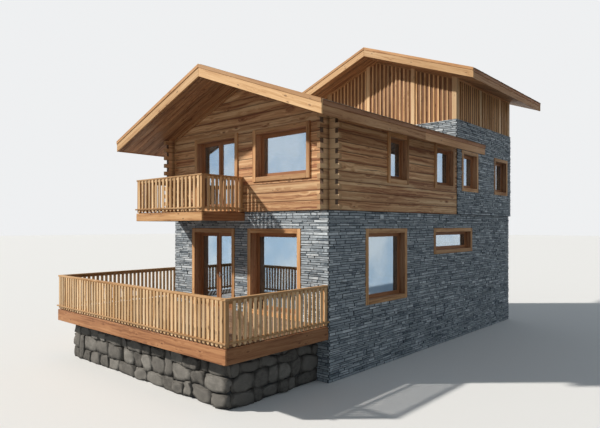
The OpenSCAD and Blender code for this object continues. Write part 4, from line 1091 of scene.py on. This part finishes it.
# %% One boulder
def crook(small, at, amount=0.085):
    """Shifts corners along the wall and up by a smooth noise of their place."""
    for v in small.verts:
        v.co += Vector((1, 0, 1)) * mathutils.noise.noise_vector((at @ v.co) * 2.1) * amount

def boulder(pile, x0, x1, z0, z1, out, at, rough, inset, tone):
    back = 0.060
    small = block((x0, -out, z0), (x1, back, z1))
    bmesh.ops.subdivide_edges(small, edges=small.edges[:], cuts=4, use_grid_fill=True)
    middle = Vector(((x0 + x1) / 2, (back - out) / 2, (z0 + z1) / 2))
    seed = Vector([rng.uniform(0, 50) for i in range(3)])
    split = small.verts.layers.float.new("split")
    for v in small.verts:
        away = v.co - middle
        reach = Vector((away.x / (x1 - x0), away.y / (back + out), away.z / (z1 - z0))).length * 2
        pushed = mathutils.noise.turbulence_vector(
            v.co * 3.2 + seed, 3, False, noise_basis="PERLIN_ORIGINAL", amplitude_scale=0.6, frequency_scale=2.2)
        # Split falls towards the boulder's corners, which the rubble darkens as dirt and painted shade of the
        # joints.
        v[split] = min(1.0, max(0.0, (1.55 - reach) / 0.45))
        v.co = middle + away / (1 + inset * (reach - 1)) + pushed * rough
    crook(small, at)
    for v in small.verts:
        v.co.z = max(v.co.z, 0.0)
    for f in small.faces:
        f.smooth = True
    lay(pile, small, 0, at, tone)

print("boulders ready")

# %% [markdown]
# A mason fills a course from one end to the other, round the openings, and sometimes sets a stone
# that is two courses high. The next course then leaves its place free.

# %% Courses and walls
def course_list(breaks, mean):
    """Courses of uneven height between given levels, as (bottom, top)."""
    rows = []
    for low, high in zip(breaks, breaks[1:]):
        shares = [rng.uniform(0.55, 1.5) for i in range(max(1, round((high - low) / mean)))]
        z = low
        for share in shares:
            top = z + (high - low) * share / sum(shares)
            rows.append((z, top))
            z = top
    return rows

def free_parts(start, stop, blocked):
    parts = [(start, stop)]
    for a, b in blocked:
        pieces = [piece for lo, hi in parts for piece in ((lo, min(hi, a)), (max(lo, b), hi))]
        parts = [(lo, hi) for lo, hi in pieces if hi - lo > 0.012]
    return parts

def lay_stones(pile, rows, span, holes, at, make, lengths, out, rough, inset, joint, jump):
    """Stones over a wall: span(course number, bottom) gives its ends, holes are (x0, x1, z0, z1)."""
    def open_at(row):
        return [(a, b) for a, b, low, high in holes if low < (row[0] + row[1]) / 2 < high]
    taken = []
    for i, (low, high) in enumerate(rows):
        ends = span(i, low)
        if ends is None:
            taken = []
            continue
        here = open_at((low, high))
        above = rows[i + 1] if i + 1 < len(rows) else None
        alike = above and open_at(above) == here and span(i + 1, above[0]) is not None
        tall = []
        for a, b in free_parts(*ends, here + taken):
            x = a
            while x < b - 0.001:
                wide = rng.uniform(*lengths)
                if b - x - wide < lengths[0]:
                    wide = b - x
                top = high
                if alike and wide < 0.3 and a + 0.3 < x < b - 0.6 and rng.random() < jump:
                    top = above[1]
                    tall.append((x, x + wide))
                make(pile, x + joint / 2, x + wide - joint / 2, low + joint / 2, top - joint / 2,
                     rng.triangular(out[0], out[1], out[0] * 1.5), at, rough, inset,
                     rng.triangular(0.1, 0.95, 0.5))
                x += wide
        taken = tall

SLATE = dict(make=ledge, lengths=(0.13, 0.50), out=(0.014, 0.050), rough=0.008, inset=0.015,
             joint=0.007, jump=0.12)
RUBBLE = dict(make=boulder, lengths=(0.24, 0.85), out=(0.050, 0.120), rough=0.042, inset=0.17,
              joint=0.003, jump=0.42)
rows = course_list([0.004, DECK_Z, HEAD - TALL_H, HEAD - STRIP_H, HEAD, LOG_Z, SILL, SILL + UPPER_H,
                    BOARD_Z - 0.004], 0.062)
print(len(rows), "courses")

# %% [markdown]
# Every second course of a wall runs past the corner, and those of the wall round the corner are the
# ones between. Below the terrace the left wall's slate begins behind the terrace's left arm. The rear
# block's front wall shows only above the lower roof, so its courses begin where the roof ends.

# %% Slate on the walls
TOOTH = 0.030                                  # how far every second course runs past the corner
ABOVE_EAVE = 7.30                              # the lower roof's eave no longer hides the corner here

def holes_in(wall, turn):
    """Openings of a wall in its own X, which runs the other way on the left and the back."""
    return [(along * turn - w / 2 - 0.004, along * turn + w / 2 + 0.004, z - 0.001, z + h + 0.001)
            for side, along, z, face, w, h, deep, leaves in windows if side == wall]

def between(low, high, ends):
    """The ends of courses that start between two heights, and no stones elsewhere."""
    return lambda i, z: ends(i, z) if low - SLACK <= z < high - SLACK else None

def past(i):
    """How far a course runs past the corner."""
    return TOOTH * (i % 2)

def both_ways(half):
    return lambda i, z: (-half - past(i), half + past(i))

def to_side(turn, near, far):
    """Ends of a side wall's course: X runs back on the right and forwards on the left."""
    return (near, far) if turn > 0 else (-far, -near)

stones = new_pile()
at = facing("front", 0, 0, FRONT)
door_hole = (-DOOR_X - DOOR_W / 2 - 0.004, -DOOR_X + DOOR_W / 2 + 0.004, DECK_Z - 0.1, DECK_Z + DOOR_H + 0.001)
lay_stones(stones, rows, between(DECK_Z, LOG_Z, both_ways(HALF)), holes_in("front", 1) + [door_hole], at, **SLATE)
lay_stones(stones, rows, between(0, DECK_Z, lambda i, z: (HALF - 0.500, HALF + past(i))), [], at, **SLATE)
finish(stones, "front_slate", "slate")

for wall, turn in (("right", 1), ("left", -1)):
    def low_ends(i, z):
        behind_arm = turn < 0 and z < DECK_Z - SLACK
        return to_side(turn, -1.950 if behind_arm else FRONT - past(i + 1), BACK + past(i + 1))
    def high_ends(i, z):
        return to_side(turn, CROSS + 0.001 - (past(i + 1) if z > ABOVE_EAVE else 0), BACK + past(i + 1))
    for level, span, face in (("low", between(0, LOG_Z, low_ends), HALF),
                              ("high", between(LOG_Z, BOARD_Z, high_ends), LOG_X)):
        stones = new_pile()
        lay_stones(stones, rows, span, holes_in(wall, turn), facing(wall, 0, 0, face), **SLATE)
        finish(stones, wall + "_slate_" + level, "slate")

for level, low, high, half in (("low", 0, LOG_Z, HALF), ("high", LOG_Z, BOARD_Z, LOG_X)):
    stones = new_pile()
    lay_stones(stones, rows, between(low, high, both_ways(half)), holes_in("back", -1),
               facing("back", 0, 0, BACK), **SLATE)
    finish(stones, "back_slate_" + level, "slate")

stones = new_pile()
for side in (-1, 1):
    def over_roof(i, z):
        start = max((FRONT_RIDGE - z) / PITCH - 0.45, 0.2)
        return to_side(side, start, LOG_X + (past(i) if z > ABOVE_EAVE else 0))
    lay_stones(stones, rows, between(7.02 + SLACK, BOARD_Z, over_roof), [], facing("front", 0, 0, CROSS), **SLATE)
finish(stones, "cross_slate", "slate")

# %% [markdown]
# The terrace stands on a plinth of rubble: three or four courses of boulders, as high as a knee
# each, which run past the corners in turn as the slate does.

# %% Rubble under the terrace
rubble_rows = course_list([0.004, 1.226], 0.30)
PLINTH_X0, PLINTH_X1, PLINTH_Y0, PLINTH_Y1, TURN = -4.260, 2.930, -9.210, -2.370, 0.035
plinth = [(facing("front", 0, 0, PLINTH_Y0), PLINTH_X0, PLINTH_X1),
          (facing("right", 0, 0, PLINTH_X1), PLINTH_Y0, FRONT),
          (facing("left", 0, 0, -PLINTH_X0), -PLINTH_Y1, -PLINTH_Y0),
          (facing("back", 0, 0, PLINTH_Y1), 3.350, -PLINTH_X0)]
stones = new_pile()
for number, (at, start, stop) in enumerate(plinth):
    def stretch_of(i, z):
        turn = TURN * ((i + number) % 2)
        return (start - turn, stop + turn)
    lay_stones(stones, rubble_rows, stretch_of, [], at, **RUBBLE)
finish(stones, "terrace_rubble", "rubble")
